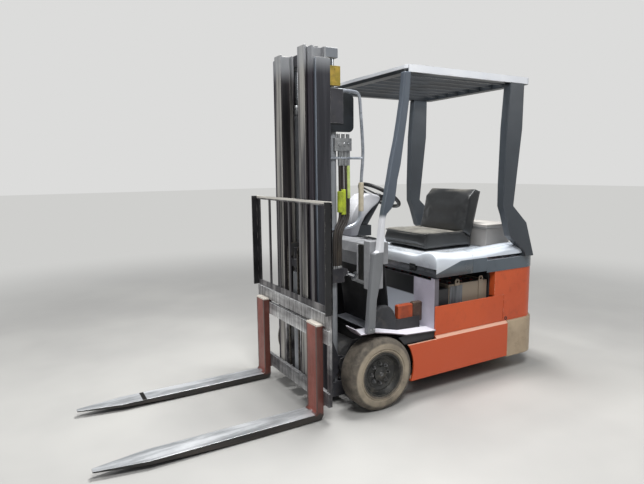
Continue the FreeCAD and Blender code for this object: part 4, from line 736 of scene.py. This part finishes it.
def piped(bm, points, radius):
    """A round bar, cord or hose along a smooth line, its corners cut as a bend is."""
    curve = bpy.data.curves.new("line", "CURVE")
    curve.dimensions = "3D"
    curve.bevel_depth = radius
    curve.bevel_resolution = 3
    curve.use_fill_caps = True
    curve.resolution_u = 6
    spline = curve.splines.new("NURBS")
    spline.points.add(len(points) - 1)
    for point, spot in zip(spline.points, points):
        point.co = (*spot, 1)
    spline.order_u = 3
    spline.use_endpoint_u = True
    line = bpy.data.objects.new("line", curve)
    bpy.context.scene.collection.objects.link(line)
    mesh = baked(line)
    bm.from_mesh(mesh)
    bpy.data.objects.remove(line)
    bpy.data.meshes.remove(mesh)
    bmesh.ops.remove_doubles(bm, verts=bm.verts, dist=0.00005)


cushion("seat_cushion", "seat_pad")
cushion("seat_backrest", "back_pad")
low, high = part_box("seat_cushion")
WELT, WELT_INSET, WELT_CORNER = 0.0048, 0.007, 0.030
x0, x1, y1 = low[0] + WELT_INSET, high[0] - WELT_INSET, high[1] - WELT_INSET
x2, x3, y2 = x0 + WELT_CORNER, x1 - WELT_CORNER, y1 - WELT_CORNER
round_seat = [(x0, 0), (x0, y2), (x0, y1), (x2, y1), (x3, y1), (x1, y1), (x1, y2), (x1, -y2), (x1, -y1), (x3, -y1),
              (x2, -y1), (x0, -y1), (x0, -y2), (x0, 0)]
welts = bmesh.new()
for z in (high[2] - 0.017, low[2] + 0.022):
    piped(welts, [(x, y, z) for x, y in round_seat], WELT)
made("seat_welts", welts, vinyl, carrier("seat_cushion"))
# Black polypropylene, moulded: satin, with dust in its corners
pan_black = coated("polypropylene_moulded_seat_pan", "#1B1C1E", "#27282A", 0.5, 90, dirt="#4A4843",
                   dirt_share=0.25)
softened("seat_frame", pan_black, 0.006)
# Warm grey enamel, sprayed on the box behind the seat: pale on top as a painted highlight, darker on its walls
deck_grey = lit_and_shaded_paint("enamel_sprayed_warm_grey", "#C6C2BC", "#8E8B88", 0.5, worn="#DAD7D1", chips=0.5, patch=150,
                      edge_mm=4.0)
softened("rear_deck", deck_grey, 0.006)

# Front cowl and steering column: moulded ABS covers, pale grey with an etched grain, clipped over a steel frame;
# the column's cover is the palest, with a painted highlight toward its top.
# Etched ABS: matt mid-grey with a fine grain, paler on its rubbed edges
cowl_grey = coated("abs_etched_grey", "#96979A", "#808184", 0.55, 90, worn="#B9BABD", chips=0.5, dirt="#5B5A58",
                   dirt_share=0.3, ripple=0.15, ripple_mm=4)
softened("front_cowl", cowl_grey, 0.010)
low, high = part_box("front_cowl")
front = high[0]
panels, recess = bmesh.new(), bmesh.new()
for hand in (1, -1):
    block(panels, (front - 0.020, hand * 0.322, 0.832), (front + 0.010, hand * 0.328, 1.018))
    block(panels, (front - 0.085, hand * 0.404, 0.756), (front + 0.014, hand * 0.468, 1.050))
    block(recess, (front - 0.030, hand * 0.330, 0.800), (front + 0.004, hand * 0.402, 1.020))
made("cowl_panels", panels, cowl_grey, "chassis", edge=0.004)
made("cowl_recess", recess, rim_black, "chassis", edge=0.003)
column_pale, tree, shader, place = started("abs_moulded_pale_grey")
# Moulded ABS: near white toward the top as a painted highlight, greyer below, with a soft sheen
lit_toward_top = ramped(tree, part(tree, place, "Z"), 1.10, 1.27)
cloud = patchy(tree, place, 120, 5.0, 0.6)
fill(tree, shader, {"Base Color": mixed(tree, lit_toward_top, mixed(tree, cloud, "#7D7E86", "#929399"),
                                        mixed(tree, cloud, "#CACBD0", "#DEDFE2")), "Roughness": 0.38})
COVER_HALF = 0.072
COVER_SIDE = [(58, 1026), (58, 1110), (70, 1178), (100, 1232), (136, 1276), (178, 1308), (228, 1316), (300, 1298),
              (308, 1270), (286, 1246), (232, 1208), (182, 1160), (146, 1100), (122, 1026)]
bm = bmesh.new()
cut_plate(bm, COVER_SIDE, -COVER_HALF, 2 * COVER_HALF, ahead=-1)
made("column_cover", bm, column_pale, "chassis", ("steering_column",), 0.014)
# Steel tube, sprayed charcoal: satin near-black with dust
column_dark = coated("steel_tube_sprayed_charcoal", "#1E2227", "#2C3036", 0.45, 90, dirt="#54514C", dirt_share=0.3)
bm = bmesh.new()
rod(bm, (axle_x - 0.150, 0, 1.020), (axle_x - 0.330, 0, 1.270), 0.030, 0.026, 32)
block(bm, (axle_x - 0.230, -0.070, 1.028), (axle_x - 0.104, 0.070, 1.100))
made("column_tube", bm, column_dark, "chassis", edge=0.004)
# Smoked polycarbonate: glossy near-black over the gauges. Black ABS, moulded: satin trim round them
panel_dark = coated("polycarbonate_smoked", "#1B1E22", "#262A2E", 0.16, 60)
trim_black = coated("abs_moulded_black", "#1E1F21", "#2A2B2D", 0.42, 60, dirt="#4E4B46", dirt_share=0.2)
gauges, rims = bmesh.new(), bmesh.new()
tilt = Vector((-0.30, 0, 1)).normalized()
for y in (-0.045, 0.045):
    middle = Vector((low[0] + 0.055, 0.215 + y, high[2] - 0.004))
    rod(rims, middle, middle + tilt * 0.012, 0.034, 0.032, 32)
    rod(gauges, middle + tilt * 0.008, middle + tilt * 0.014, 0.028, 0.027, 32)
made("gauge_glasses", gauges, panel_dark, "chassis")
made("gauge_rims", rims, trim_black, "chassis", edge=0.001)

# Pedals and levers: steel arms with ribbed rubber pads, and four chromed lever rods with black ball grips that
# rise through rubber gaiters from the box beside the column.
# Ribbed rubber, moulded: matt black, grey in its grooves
pad_rubber = coated("rubber_moulded_ribbed", "#1C1C1D", "#2B2A29", 0.75, 40, dirt="#56514A", dirt_share=0.4,
                    ripple=0.6, ripple_mm=5)
softened("pedals", pad_rubber, 0.002)
# Chrome plate: a clear mirror with a faint cloud of oil
chrome = coated("steel_chrome_plated", "#C9CCCF", "#B4B7BA", 0.16, 60, metallic=1.0)
low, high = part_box("hydraulic_levers")
box_top = high[2] - 0.148
stems, grips = bmesh.new(), bmesh.new()
for y in (-0.276, -0.242, -0.208, -0.174):
    foot = Vector((axle_x - 0.080, y, box_top))
    rod(grips, foot + Vector((0, 0, -0.006)), foot + Vector((0, 0, 0.022)), 0.015, 0.007, 20)
    rod(stems, foot + Vector((0, 0, 0.012)), foot + Vector((0, 0, 0.118)), 0.0048, sides=16)
    spun(grips, foot + Vector((0, 0, 0.130)), (0, 0, 1),
         [(-0.017, 0), (-0.017, 0.006), (-0.011, 0.0125), (0, 0.0145), (0.010, 0.0118), (0.0165, 0.006),
          (0.018, 0)],
         24)
block(grips, (low[0], low[1], low[2] + 0.014), (high[0], high[1], box_top))
made("lever_grips", grips, trim_black, "chassis", ("hydraulic_levers",), 0.002)
made("lever_rods", stems, chrome, "chassis")

# Steering wheel: a steel ring and three flat spokes moulded over in black polyurethane, with thumb notches
# worn smooth; the boss has a plain cap.
# Polyurethane, moulded black: satin with a fine grain and grey hand dirt
grip_black = coated("polyurethane_moulded_black", "#191A1B", "#242526", 0.45, 30, dirt="#3F3D3A", dirt_share=0.2,
                    ripple=0.2, ripple_mm=3)
LEAN = math.radians(32)
RIM_GRIP = 0.0132                       # half the rim's thickness
low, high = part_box("steering_wheel")
hub_centre = Vector(((low[0] + high[0]) / 2, 0, 1.295))
steering_axis = Vector((-math.sin(LEAN), 0, math.cos(LEAN)))
ring_radius = high[1] - 0.0135
turns = [math.tau * number / 16 for number in range(16)]
bm = bmesh.new()
spun(bm, hub_centre, steering_axis,
     [(RIM_GRIP * math.sin(turn), ring_radius + RIM_GRIP * math.cos(turn)) for turn in turns], 80)
spun(bm, hub_centre, steering_axis, [(-0.034, 0), (-0.034, 0.030), (-0.006, 0.036), (0.004, 0.030), (0.009, 0.016),
                                     (0.010, 0)], 40)
lean_matrix = Matrix.Translation(hub_centre) @ Matrix.Rotation(-LEAN, 4, "Y")
for angle in (90, 210, 330):
    arm = lean_matrix @ Matrix.Rotation(math.radians(angle), 4, "Z")
    block(bm, (0.020, -0.012, -0.006), (ring_radius, 0.012, 0.001), arm)
made("steering_ring", bm, grip_black, carrier("steering_wheel"), ("steering_wheel",), 0.002)
# Overhead guard: welded box section, bent at the shoulders and sprayed slate. Its roof frame has a painted
# highlight of the lamps along its upper edges, and the front legs' feet are lighter where new paint was put over
# old.
# Slate enamel, sprayed: satin dark blue-grey, pale along its edges, partly rubbed paint and partly a painted
# highlight
guard_slate = coated("enamel_sprayed_guard", "#3F454B", "#363B41", 0.40, 260, worn="#A3ABB4", chips=0.6,
                     edge_mm=4.0, ripple=0.08, ripple_mm=6)
leg_paint, tree, shader, place = started("enamel_brushed_over_slate")
# Brushed enamel over the sprayed coat: slate above the knee, a near-white painted highlight band below it, then
# pale grey to the foot
height = part(tree, place, "Z")
cloud = patchy(tree, place, 140, 5.0, 0.6, (1, 1, 3))
lower = mixed(tree, ramped(tree, height, 0.985, 0.992), mixed(tree, cloud, "#7E8082", "#6C6E71"),
              mixed(tree, cloud, "#E3E4E7", "#D5D6DA"))
upper = mixed(tree, cloud, "#535B65", "#474F58")
fill(tree, shader, {"Base Color": mixed(tree, ramped(tree, height, 1.180, 1.215), lower, upper),
                    "Roughness": 0.38})
LEG_ACROSS = 0.044
LEG_SIDE = [(58, 503), (46, 700), (24, 800), (4, 884), (-4, 1000), (-13, 1180), (-24, 1212), (-58, 1242),
            (-84, 1290), (-101, 1411), (-124, 1500), (-148, 1650), (-166, 1760), (-184, 1880), (-196, 2038),
            (-146, 2038), (-132, 1880), (-112, 1762), (-90, 1646), (-61, 1529), (-38, 1412), (-13, 1295),
            (0, 1240), (12, 1177), (36, 994), (66, 984), (82, 850), (98, 701), (114, 503)]
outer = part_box("guard_front_legs")[1][1]
legs, bolts = bmesh.new(), bmesh.new()
for hand in (1, -1):
    cut_plate(legs, LEG_SIDE, hand * outer, -hand * LEG_ACROSS)
    for x in (0.072, 0.094):
        rod(bolts, (axle_x + x, hand * (outer - 0.004), 0.530), (axle_x + x, hand * (outer + 0.004), 0.530), 0.007,
            0.006, 6)
made("front_legs", legs, leg_paint, "chassis", ("guard_front_legs",), 0.009)
made("guard_bolts", bolts, zinc, "chassis")
softened("guard_rear_legs", guard_slate, 0.007)
roof_paint, tree, shader, place = started("enamel_sprayed_roof")
# Sprayed enamel: slate inside and on the bars, near white along its outer faces and its top as a painted highlight
roof_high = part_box("guard_roof")[1]
height = part(tree, place, "Z")
front = maths(tree, "MULTIPLY", ramped(tree, part(tree, place, "X"), roof_high[0] - 0.016, roof_high[0] - 0.010),
              ramped(tree, height, roof_high[2] - 0.022, roof_high[2] - 0.018))
sides = ramped(tree, maths(tree, "ABSOLUTE", part(tree, place, "Y")), roof_high[1] - 0.016, roof_high[1] - 0.010)
top = ramped(tree, height, roof_high[2] - 0.004, roof_high[2] - 0.002)
lit_edges = maths(tree, "MAXIMUM", maths(tree, "MAXIMUM", sides, front), top)
cloud = patchy(tree, place, 160, 5.0)
fill(tree, shader, {"Base Color": mixed(tree, lit_edges, mixed(tree, cloud, "#14171A", "#22272C"),
                                        mixed(tree, cloud, "#DADDE2", "#E6E8EB")), "Roughness": 0.4})
softened("guard_roof", roof_paint, 0.006)


# Mast rails: hot-rolled channel, three pairs nested, painted black and rubbed to grey steel where the rollers
# and the next stage's wear strips run; oil holds the dust in long upright streaks.
def rail_steel(name, side, side_two, front, front_two):
    """Black paint on rolled steel, streaked: fronts paler, partly worn and partly a painted highlight; paler near
    the top; upward faces cream, a painted highlight.
    """
    mat, tree, shader, place = started(name)
    streaks = patchy(tree, place, 26, 6.0, 0.62, (1, 1, 22), 0.36, 0.66)
    # Front faces paler than the sides: partly worn steel, partly a painted highlight
    tone = mixed(tree, ramped(tree, facing(tree, "X"), 0.45, 0.75), mixed(tree, streaks, side, side_two),
                 mixed(tree, streaks, front, front_two))
    paler_near_top = maths(tree, "MULTIPLY", ramped(tree, part(tree, place, "Z"), 2.02, 2.14), 0.55)
    tone = mixed(tree, paler_near_top, tone, "#B9BCBF")
    # Upward faces: a painted highlight in cream
    tone = mixed(tree, ramped(tree, facing(tree, "Z"), 0.6, 0.8), tone, "#DDD8CE")
    fill(tree, shader, {"Base Color": tone, "Roughness": spread(tree, streaks, 0.42, 0.56), "Metallic": 0.35})
    return mat


softened("mast_outer_rails", rail_steel("steel_rolled_outer", "#2B2B30", "#434449", "#96A0AC", "#565D68"), 0.002)
softened("mast_middle_rails", rail_steel("steel_rolled_middle", "#1D1A1F", "#322C32", "#4F4A53", "#29262C"), 0.002)
softened("mast_inner_rails", rail_steel("steel_rolled_inner", "#211F22", "#3F3A3C", "#B9B6AF", "#454348"), 0.002)
# Black enamel, sprayed on the mast's plates: satin, dusty, chipped to grey along its edges
mast_black = coated("enamel_sprayed_mast", "#2B2B2F", "#3B3B40", 0.42, 120, worn="#8C8B8B", chips=0.6,
                    dirt="#5A5650", dirt_share=0.3)
# The same paint on the ties, pale on top as a painted highlight, darker on their walls as painted shade
tie_paint = lit_and_shaded_paint("enamel_sprayed_ties", "#C4C6C8", "#6F7378", 0.42, worn="#A9ABAC", chips=0.6, patch=120)
softened("mast_outer_braces", mast_black, 0.003)
softened("mast_middle_ties", tie_paint, 0.003)
softened("mast_inner_ties", mast_black, 0.003)
pivot = next(joint for joint in frame["record"]["behaviour"]["joints"] if joint["name"] == "mast_tilt")["pos_m"]
PIN_RADIUS = 0.0215


def slim_pin(bm):
    """Leaves the pivot pins a hair slimmer than their bores, so that they turn freely."""
    for vert in bm.verts:
        away = Vector((vert.co.x - pivot[0], 0, vert.co.z - pivot[2]))
        if away.length < PIN_RADIUS:
            vert.co -= away * 0.04


softened("mast_hangers", mast_black, 0.003, extra=slim_pin)

# Lift cylinders: drawn steel tubes sprayed pale grey, with a screwed gland at the top and a chromed rod. The
# free-lift cylinder between the inner rails carries the crosshead with its two chain sheaves.
# Grey enamel sprayed on drawn tube: satin pale grey, streaked with oily dust
barrel_grey = coated("steel_drawn_sprayed_grey", "#8D9094", "#777A7E", 0.38, 160, worn="#BFC1C3", chips=0.4,
                     dirt="#4D4A46", dirt_share=0.35)
softened("lift_cylinders", barrel_grey, 0.002)
softened("lift_rods", chrome, 0.001)
softened("free_lift_cylinder", barrel_grey, 0.002)
softened("crosshead", mast_black, 0.003)
softened("chain_sheaves", cast_black, 0.001)
glands = bmesh.new()
low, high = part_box("lift_cylinders")
for hand in (1, -1):
    x, y = (low[0] + high[0]) / 2, hand * (high[1] - (high[0] - low[0]) / 2)
    section = [(-0.062, 0.0292), (-0.062, 0.0345), (-0.006, 0.0345), (0, 0.032), (0, 0.0205), (-0.03, 0.0205)]
    spun(glands, (x, y, high[2] + 0.004), (0, 0, 1), section, 40)
    spun(glands, (x, y, 0.20), (0, 0, 1), [(-0.02, 0.0292), (-0.02, 0.033), (0.02, 0.033), (0.02, 0.0292)], 40)
made("cylinder_glands", glands, zinc, "mast_outer", edge=0.001)

# Oil pipes on the back of the mast: drawn steel tube, yellow-zinc plated, with union nuts and clamps. A woven
# yellow-green sleeve keeps the pipes from rubbing where they pass the middle brace.
# Yellow zinc plate: a dull brassy sheen, browned by dust
yellow_zinc = coated("steel_yellow_zinc_plated", "#8F7E33", "#B79A45", 0.40, 26, metallic=0.4, dirt="#5A4F36",
                     dirt_share=0.4)
sleeve, tree, shader, place = started("polyester_woven_sleeve")
# Woven sleeve: a 3 mm diagonal weave in two yellow-greens, over plain plated pipe above and below
weave = add(tree, "ShaderNodeTexChecker", {"Vector": place, "Scale": 1 / 0.006, "Color1": "#C4D23C",
                                           "Color2": "#8E9A34"}).outputs["Color"]
height = part(tree, place, "Z")
sleeved = maths(tree, "SUBTRACT", ramped(tree, height, 1.10, 1.11), ramped(tree, height, 1.44, 1.45))
tube = mixed(tree, patchy(tree, place, 30), "#8B8C8C", "#B3B4B2")
fill(tree, shader, {"Base Color": mixed(tree, sleeved, tube, weave), "Roughness": 0.5})
softened("mast_pipes", sleeve, 0.001)
low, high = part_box("mast_pipes")
unions, clamps = bmesh.new(), bmesh.new()
for hand in (1, -1):
    foot = Vector(((low[0] + high[0]) / 2, hand * (high[1] - 0.008), 0))
    for z in (0.96, 1.045, 1.50, 1.585, 1.68):
        rod(unions, foot + Vector((0, 0, z - 0.015)), foot + Vector((0, 0, z + 0.015)), 0.0155, sides=6)
        rod(unions, foot + Vector((0, 0, z + 0.015)), foot + Vector((0, 0, z + 0.024)), 0.012, 0.0095, 16)
    for z in (1.00, 1.30, 1.62, 1.80):
        spot = foot + Vector((0, 0, z))
        block(clamps, spot - Vector((0.013, 0.016, 0.011)), spot + Vector((0.016, 0.016, 0.011)))
        rod(clamps, spot - Vector((0.018, 0, 0)), spot - Vector((0.012, 0, 0)), 0.006, sides=6)
made("pipe_unions", unions, zinc, "mast_outer")
made("pipe_clamps", clamps, yellow_zinc, "mast_outer", edge=0.0015)

# Leaf chains: punched steel plates on riveted pins. They hang from the carriage, pass over the two sheaves and go
# down to lugs on the inner mast; the front run shortens as the carriage rises.
# Oiled steel: black-brown, polished where it bends
chain_steel = coated("steel_punched_oiled", "#4A4540", "#6B655D", 0.36, 12, metallic=0.8, dirt="#26231F",
                     dirt_share=0.5)
CHAIN_PITCH = 0.0159
PLATE = 0.0105


def leaf_chain(bm, pins, y, shrink=0.0):
    """Plates between each pin and the next, three and two in turn, and the pins through them."""
    for number, (first, second) in enumerate(zip(pins, pins[1:])):
        run = second - first
        turn = Matrix.Translation((first + second) / 2 + Vector((0, y, 0))) @ Matrix.Rotation(
            math.atan2(run.x, run.z), 4, "Y")
        reach = run.length / 2 + 0.0042
        for across in (-0.0062, 0.0, 0.0062) if number % 2 else (-0.0031, 0.0031):
            block(bm, (shrink - PLATE / 2, across - 0.0013, -reach), (PLATE / 2 - shrink, across + 0.0013, reach),
                  turn)
        if not shrink:
            rod(bm, first + Vector((0, y - 0.0079, 0)), first + Vector((0, y + 0.0079, 0)), 0.0026, sides=8)


chain_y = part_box("chain_bends")[1][1] - 0.008
low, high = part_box("chain_front_runs")
front_x = (low[0] + high[0]) / 2
steps = round((high[2] - low[2]) / CHAIN_PITCH)
front_pins = [Vector((front_x, 0, low[2] + (high[2] - low[2]) * n / steps)) for n in range(steps + 1)]
bm = bmesh.new()
for hand in (1, -1):
    leaf_chain(bm, front_pins, hand * chain_y)
front_chain = made("lift_chain_front", bm, chain_steel, carrier("crosshead"), ("chain_front_runs",))
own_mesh(front_chain)
low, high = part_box("chain_rear_runs")
rear_x = (low[0] + high[0]) / 2
rear_pins = [Vector((rear_x, 0, low[2] + (high[2] - low[2]) * n / steps)) for n in range(steps + 1)]
for name, body, stands_for, shrink in (
        ("lift_chain_rear", carrier("chain_rear_runs"), ("chain_rear_runs",), 0.0),
        ("lift_chain_rear_upper", carrier("crosshead"), (), 0.0012)):
    bm = bmesh.new()
    for hand in (1, -1):
        leaf_chain(bm, rear_pins, hand * chain_y, shrink)
    made(name, bm, chain_steel, body, stands_for)
low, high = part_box("chain_bends")
bend_centre = Vector(((low[0] + high[0]) / 2, 0, low[2]))
bend_radius = (front_x - rear_x) / 2
bend_pins = []
for number in range(10):
    turn = math.pi * number / 9
    bend_pins.append(bend_centre + Vector((math.cos(turn), 0, math.sin(turn))) * bend_radius)
bm = bmesh.new()
for hand in (1, -1):
    leaf_chain(bm, bend_pins, hand * chain_y)
made("lift_chain_bend", bm, chain_steel, carrier("crosshead"), ("chain_bends",))

# Mast-top fittings: a pressed guard plate over the hose run, black, and a yellow-zinc block that guides the
# hoses, both bolted to the outer rail's back on each side.
# Black enamel, sprayed: smooth blue-black, chipped along its edges
guard_black = coated("enamel_sprayed_hose_guard", "#0E1113", "#1B2025", 0.34, 90, worn="#8A9097", chips=0.5)
plates, guides = bmesh.new(), bmesh.new()
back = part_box("mast_outer_rails")[0][0]
for hand in (1, -1):
    block(plates, (axle_x + 0.045, hand * 0.262, 1.700), (back + 0.002, hand * 0.269, 1.930))
    block(guides, (back - 0.070, hand * 0.248, 1.968), (back + 0.001, hand * 0.277, 2.080))
    for z in (1.985, 2.062):
        rod(guides, (back - 0.036, hand * 0.277, z), (back - 0.036, hand * 0.2785, z), 0.008, sides=6)
corners = [e for e in plates.edges if abs(e.verts[0].co.y - e.verts[1].co.y) > 0.004
           and e.verts[0].co.x < axle_x + 0.05]
bmesh.ops.bevel(plates, geom=corners, offset=0.035, affect="EDGES", segments=6, profile=0.5, material=-1)
made("hose_guards", plates, guard_black, "mast_outer", edge=0.0015)
made("hose_guides", guides, yellow_zinc, "mast_outer", edge=0.002)

# Hoses behind the mast: four rubber hoses a side in braid, crimped in plated unions, from a valve block near the
# top to a manifold below. Two run in a yellow-green sleeve, and a bent bar guards them from the overhead guard.
# Braided rubber: dull brown-black with dust along the braid
hose_rubber = coated("rubber_braided_hose", "#1D1A18", "#332D29", 0.6, 60, dirt="#6E6353", dirt_share=0.35,
                     streak=(1, 1, 6), ripple=0.3, ripple_mm=4)
# Polyurethane sleeve: pale green, satin. Woven polyester: bright yellow-green with a coarse weave
hose_green = coated("polyurethane_sleeve_green", "#A9BC62", "#C9D68C", 0.5, 40, dirt="#6E7340", dirt_share=0.4)
sleeve_green = coated("polyester_woven_sleeve_wide", "#B7C733", "#8F9C2B", 0.62, 26, dirt="#55592A",
                      dirt_share=0.5, ripple=0.8, ripple_mm=5)
# Zinc plate on a bent bar: bright blue-grey. Polyethylene over it where hands reach: dull cream
guard_bar = coated("steel_bent_bar_zinc_plated", "#C4C9D0", "#8C929B", 0.3, 60, metallic=0.6)
cream_sleeve = coated("polyethylene_sleeve_cream", "#D2C9B4", "#B9AF9A", 0.5, 50, dirt="#7B725F")
hoses, greens, wraps, bars, creams, unions = (bmesh.new() for _ in range(6))
for hand in (1, -1):
    for number, x in enumerate((-0.016, 0.005, 0.026, 0.047)):
        y = hand * (0.250 + 0.004 * (number % 2))
        foot_x, foot_y = 0.050 + 0.0165 * number, hand * (0.2645 + 0.003 * (number % 2))
        piped(hoses, [(x, y, 1.585), (x, y, 1.42), (x - 0.004, y, 1.26), (x, y, 1.16),
                      (foot_x, foot_y, 1.10), (foot_x, foot_y, 0.95), (foot_x, foot_y, 0.852)], 0.0088)
        rod(unions, (x, y, 1.545), (x, y, 1.590), 0.0125, sides=6)
        rod(unions, (x, y, 1.500), (x, y, 1.546), 0.0112, 0.0120, 16)
        rod(unions, (foot_x, foot_y, 0.850), (foot_x, foot_y, 0.885), 0.0100, sides=6)
    block(unions, (-0.030, hand * 0.236, 1.588), (0.092, hand * 0.272, 1.664))
    block(unions, (0.040, hand * 0.257, 0.806), (0.110, hand * 0.277, 0.852))
    for x in (-0.012, 0.022, 0.056):
        rod(unions, (x, hand * 0.270, 1.626), (x, hand * 0.2775, 1.626), 0.0135, 0.0120, 6)
        rod(unions, (x, hand * 0.254, 1.662), (x, hand * 0.254, 1.690), 0.0110, sides=6)
    piped(greens, [(-0.016, hand * 0.252, 1.50), (-0.016, hand * 0.252, 1.40), (-0.018, hand * 0.252, 1.30)],
          0.0108)
    for x, low_z, high_z, radius in ((0.024, 1.200, 1.356, 0.018), (0.046, 1.215, 1.345, 0.019)):
        rod(wraps, (x, hand * 0.256, low_z), (x, hand * 0.256, high_z), radius, radius * 0.92, 20)
piped(bars, [(0.126, 0.256, 1.948), (-0.060, 0.256, 1.948), (-0.098, 0.256, 1.930), (-0.104, 0.256, 1.860),
             (-0.122, 0.256, 1.640), (-0.124, 0.256, 1.545), (-0.110, 0.256, 1.420), (-0.105, 0.256, 1.200),
             (-0.080, 0.256, 1.140), (0.000, 0.254, 1.112), (0.126, 0.254, 1.112)], 0.0100)
piped(bars, [(-0.122, 0.256, 1.545), (-0.020, 0.262, 1.545), (0.126, 0.256, 1.545)], 0.0080)
rod(creams, (-0.1085, 0.256, 1.215), (-0.1095, 0.256, 1.395), 0.0165, sides=24)
made("hose_set", hoses, hose_rubber, "mast_outer")
made("hose_covers_green", greens, hose_green, "mast_outer")
made("hose_wraps", wraps, sleeve_green, "mast_outer", edge=0.004)
made("hose_unions", unions, zinc, "mast_outer", edge=0.0012)
made("hose_guard_bars", bars, guard_bar, "mast_outer")
made("hose_guard_sleeves", creams, cream_sleeve, "mast_outer", edge=0.003)

# Tilt cylinders: short drawn barrels on pins between the floor and the mast, sprayed pale grey, with chromed rods.
# The paint is satin, near white where it is rubbed, with dark oily dust
tilt_grey = coated("steel_drawn_sprayed_light", "#C6C8C9", "#A3A5A7", 0.36, 60, worn="#E6E7E8", dirt="#4D4A46")
softened("tilt_cylinders", tilt_grey, 0.002)
softened("tilt_rods", chrome, 0.001)

# Carriage and load backrest: two rolled bars between end cheeks, with an upright grille of flat bars above. All
# of it has been painted black and scraped back to bare steel by loads, most of all along its upper edges.
scraped, tree, shader, place = started("steel_rolled_scraped")
# Scraped rolled steel: bright bare patches with upright scratches over old dark paint, pale on upward edges
patches = patchy(tree, place, 90, 6.0, 0.6, (1, 4, 1), 0.40, 0.66)
scratches = patchy(tree, place, 9, 5.0, 0.7, (1, 1, 12), 0.40, 0.66)
shown = maths(tree, "MAXIMUM", ramped(tree, facing(tree, "Z"), 0.4, 0.8), patches)
upper_bar = ramped(tree, part(tree, place, "Z"), 0.30, 0.40)
bare = mixed(tree, upper_bar, mixed(tree, scratches, "#8A8A8B", "#BDBEBE"),
             mixed(tree, scratches, "#C4C5C6", "#F2F2F1"))
paint = mixed(tree, upper_bar, mixed(tree, scratches, "#39373A", "#6B6768"),
              mixed(tree, scratches, "#6E6C6D", "#A9A8A8"))
fill(tree, shader, {"Base Color": mixed(tree, shown, paint, bare), "Metallic": 0.45,
                    "Roughness": spread(tree, patches, 0.5, 0.3), "Normal": bumped(tree, scratches, 0.0008, 0.6)})
softened("fork_carriage", scraped, 0.003)
rest_low, rest_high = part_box("load_backrest")
grille, tree, shader, place = started("steel_flat_bar_worn")
# Flat bar, painted black: long upright wear streaks from dark to pale grey, and a cream painted highlight along
# the top bar's upper edge
streaks = patchy(tree, place, 34, 5.0, 0.6, (1, 1, 30), 0.38, 0.64)
lit_top_edge = ramped(tree, part(tree, place, "Z"), rest_high[2] - 0.016, rest_high[2] - 0.012)
fill(tree, shader, {"Base Color": mixed(tree, lit_top_edge, mixed(tree, streaks, "#39373A", "#8A8888"), "#D9D5CC"),
                    "Metallic": 0.3, "Roughness": 0.42})
# The posts' black enamel, sprayed thick: satin, chipped to warm grey along its edges
post_black = coated("enamel_sprayed_posts", "#0F0F11", "#1E1E20", 0.4, 90, worn="#8F8C88", chips=0.4)
bars, posts = bmesh.new(), bmesh.new()
block(bars, rest_low, (rest_high[0], rest_high[1], rest_low[2] + 0.040))
block(bars, (rest_low[0], rest_low[1], rest_high[2] - 0.024), rest_high)
back, front = rest_low[0] + 0.001, rest_high[0] - 0.001
bar_foot, bar_top = rest_low[2] + 0.030, rest_high[2] - 0.014
for y in (-0.30, -0.15, 0.0, 0.15, 0.30):
    block(bars, (back, y - 0.011, bar_foot), (front, y + 0.011, bar_top))
for hand in (1, -1):
    y = hand * rest_high[1]
    block(posts, (back, y - hand * 0.058, bar_foot), (front, y, bar_top))
    block(posts, (back, y - hand * 0.010, rest_low[2] + 0.001), (rest_high[0] + 0.036, y, rest_high[2] - 0.001))
made("backrest_grille", bars, grille, "carriage", ("load_backrest",), 0.002)
made("backrest_posts", posts, post_black, "carriage", edge=0.002)

# Forks: forged flat bar, bent hot at the heel and drawn to a thin tip. Shanks keep a red-brown primer; the blades
# are ground bare and bright on top by pallets, and dark with scale along their sides.
fork_low, fork_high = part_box("fork_left")
inner, outer = sorted(abs(corner[1]) for corner in (fork_low, fork_high))
shank_front = fork_low[0] + 0.090
forged, tree, shader, place = started("steel_forged_primed")
# Forged steel: blades scraped bright lengthwise over dark scale, shanks in streaky primer with dark borders and a
# cream painted highlight along their tops, and a burnt weld seam across the far blade near its tip
along, sideways, height = (part(tree, place, axis) for axis in "XYZ")
scrape = patchy(tree, place, 40, 8.0, 0.7, (6, 1, 1), 0.36, 0.66)
seam = maths(tree, "SUBTRACT", ramped(tree, along, axle_x + 1.236, axle_x + 1.240),
             ramped(tree, along, axle_x + 1.262, axle_x + 1.266))
seam = maths(tree, "MULTIPLY", seam, ramped(tree, sideways, 0.01, -0.01))
bare = mixed(tree, seam, mixed(tree, scrape, "#A5A8AA", "#E4E6E8"), "#26231F")
blade = mixed(tree, ramped(tree, facing(tree, "Z"), 0.35, 0.75), mixed(tree, scrape, "#2D2C2C", "#46423F"), bare)
rust = patchy(tree, place, 46, 8.0, 0.7, (1, 1, 5), 0.34, 0.68)
from_middle = maths(tree, "ABSOLUTE", sideways)
border = maths(tree, "MAXIMUM", ramped(tree, from_middle, inner + 0.022, inner + 0.006),
               ramped(tree, from_middle, outer - 0.022, outer - 0.006))
primer = mixed(tree, border, mixed(tree, rust, "#74392F", "#954F42"), "#54413C")
shank = mixed(tree, ramped(tree, facing(tree, "X"), 0.35, 0.75), mixed(tree, rust, "#4F2F2B", "#6E4138"), primer)
# The shanks' top edge: a cream painted highlight
shank = mixed(tree, ramped(tree, height, fork_high[2] - 0.014, fork_high[2] - 0.008), shank, "#D6CFC4")
ragged = maths(tree, "MULTIPLY_ADD", cloudy(tree, place, 50, 6.0, 0.7), 0.10, height)
primed = maths(tree, "MULTIPLY", ramped(tree, ragged, 0.085, 0.105),
               ramped(tree, along, shank_front, shank_front - 0.008))
fill(tree, shader, {"Base Color": mixed(tree, primed, blade, shank), "Metallic": spread(tree, primed, 0.5, 0.1),
                    "Roughness": spread(tree, scrape, 0.28, 0.46), "Normal": bumped(tree, scrape, 0.0008, 0.5)})
for side in ("left", "right"):
    softened(f"fork_{side}", forged, 0.009)
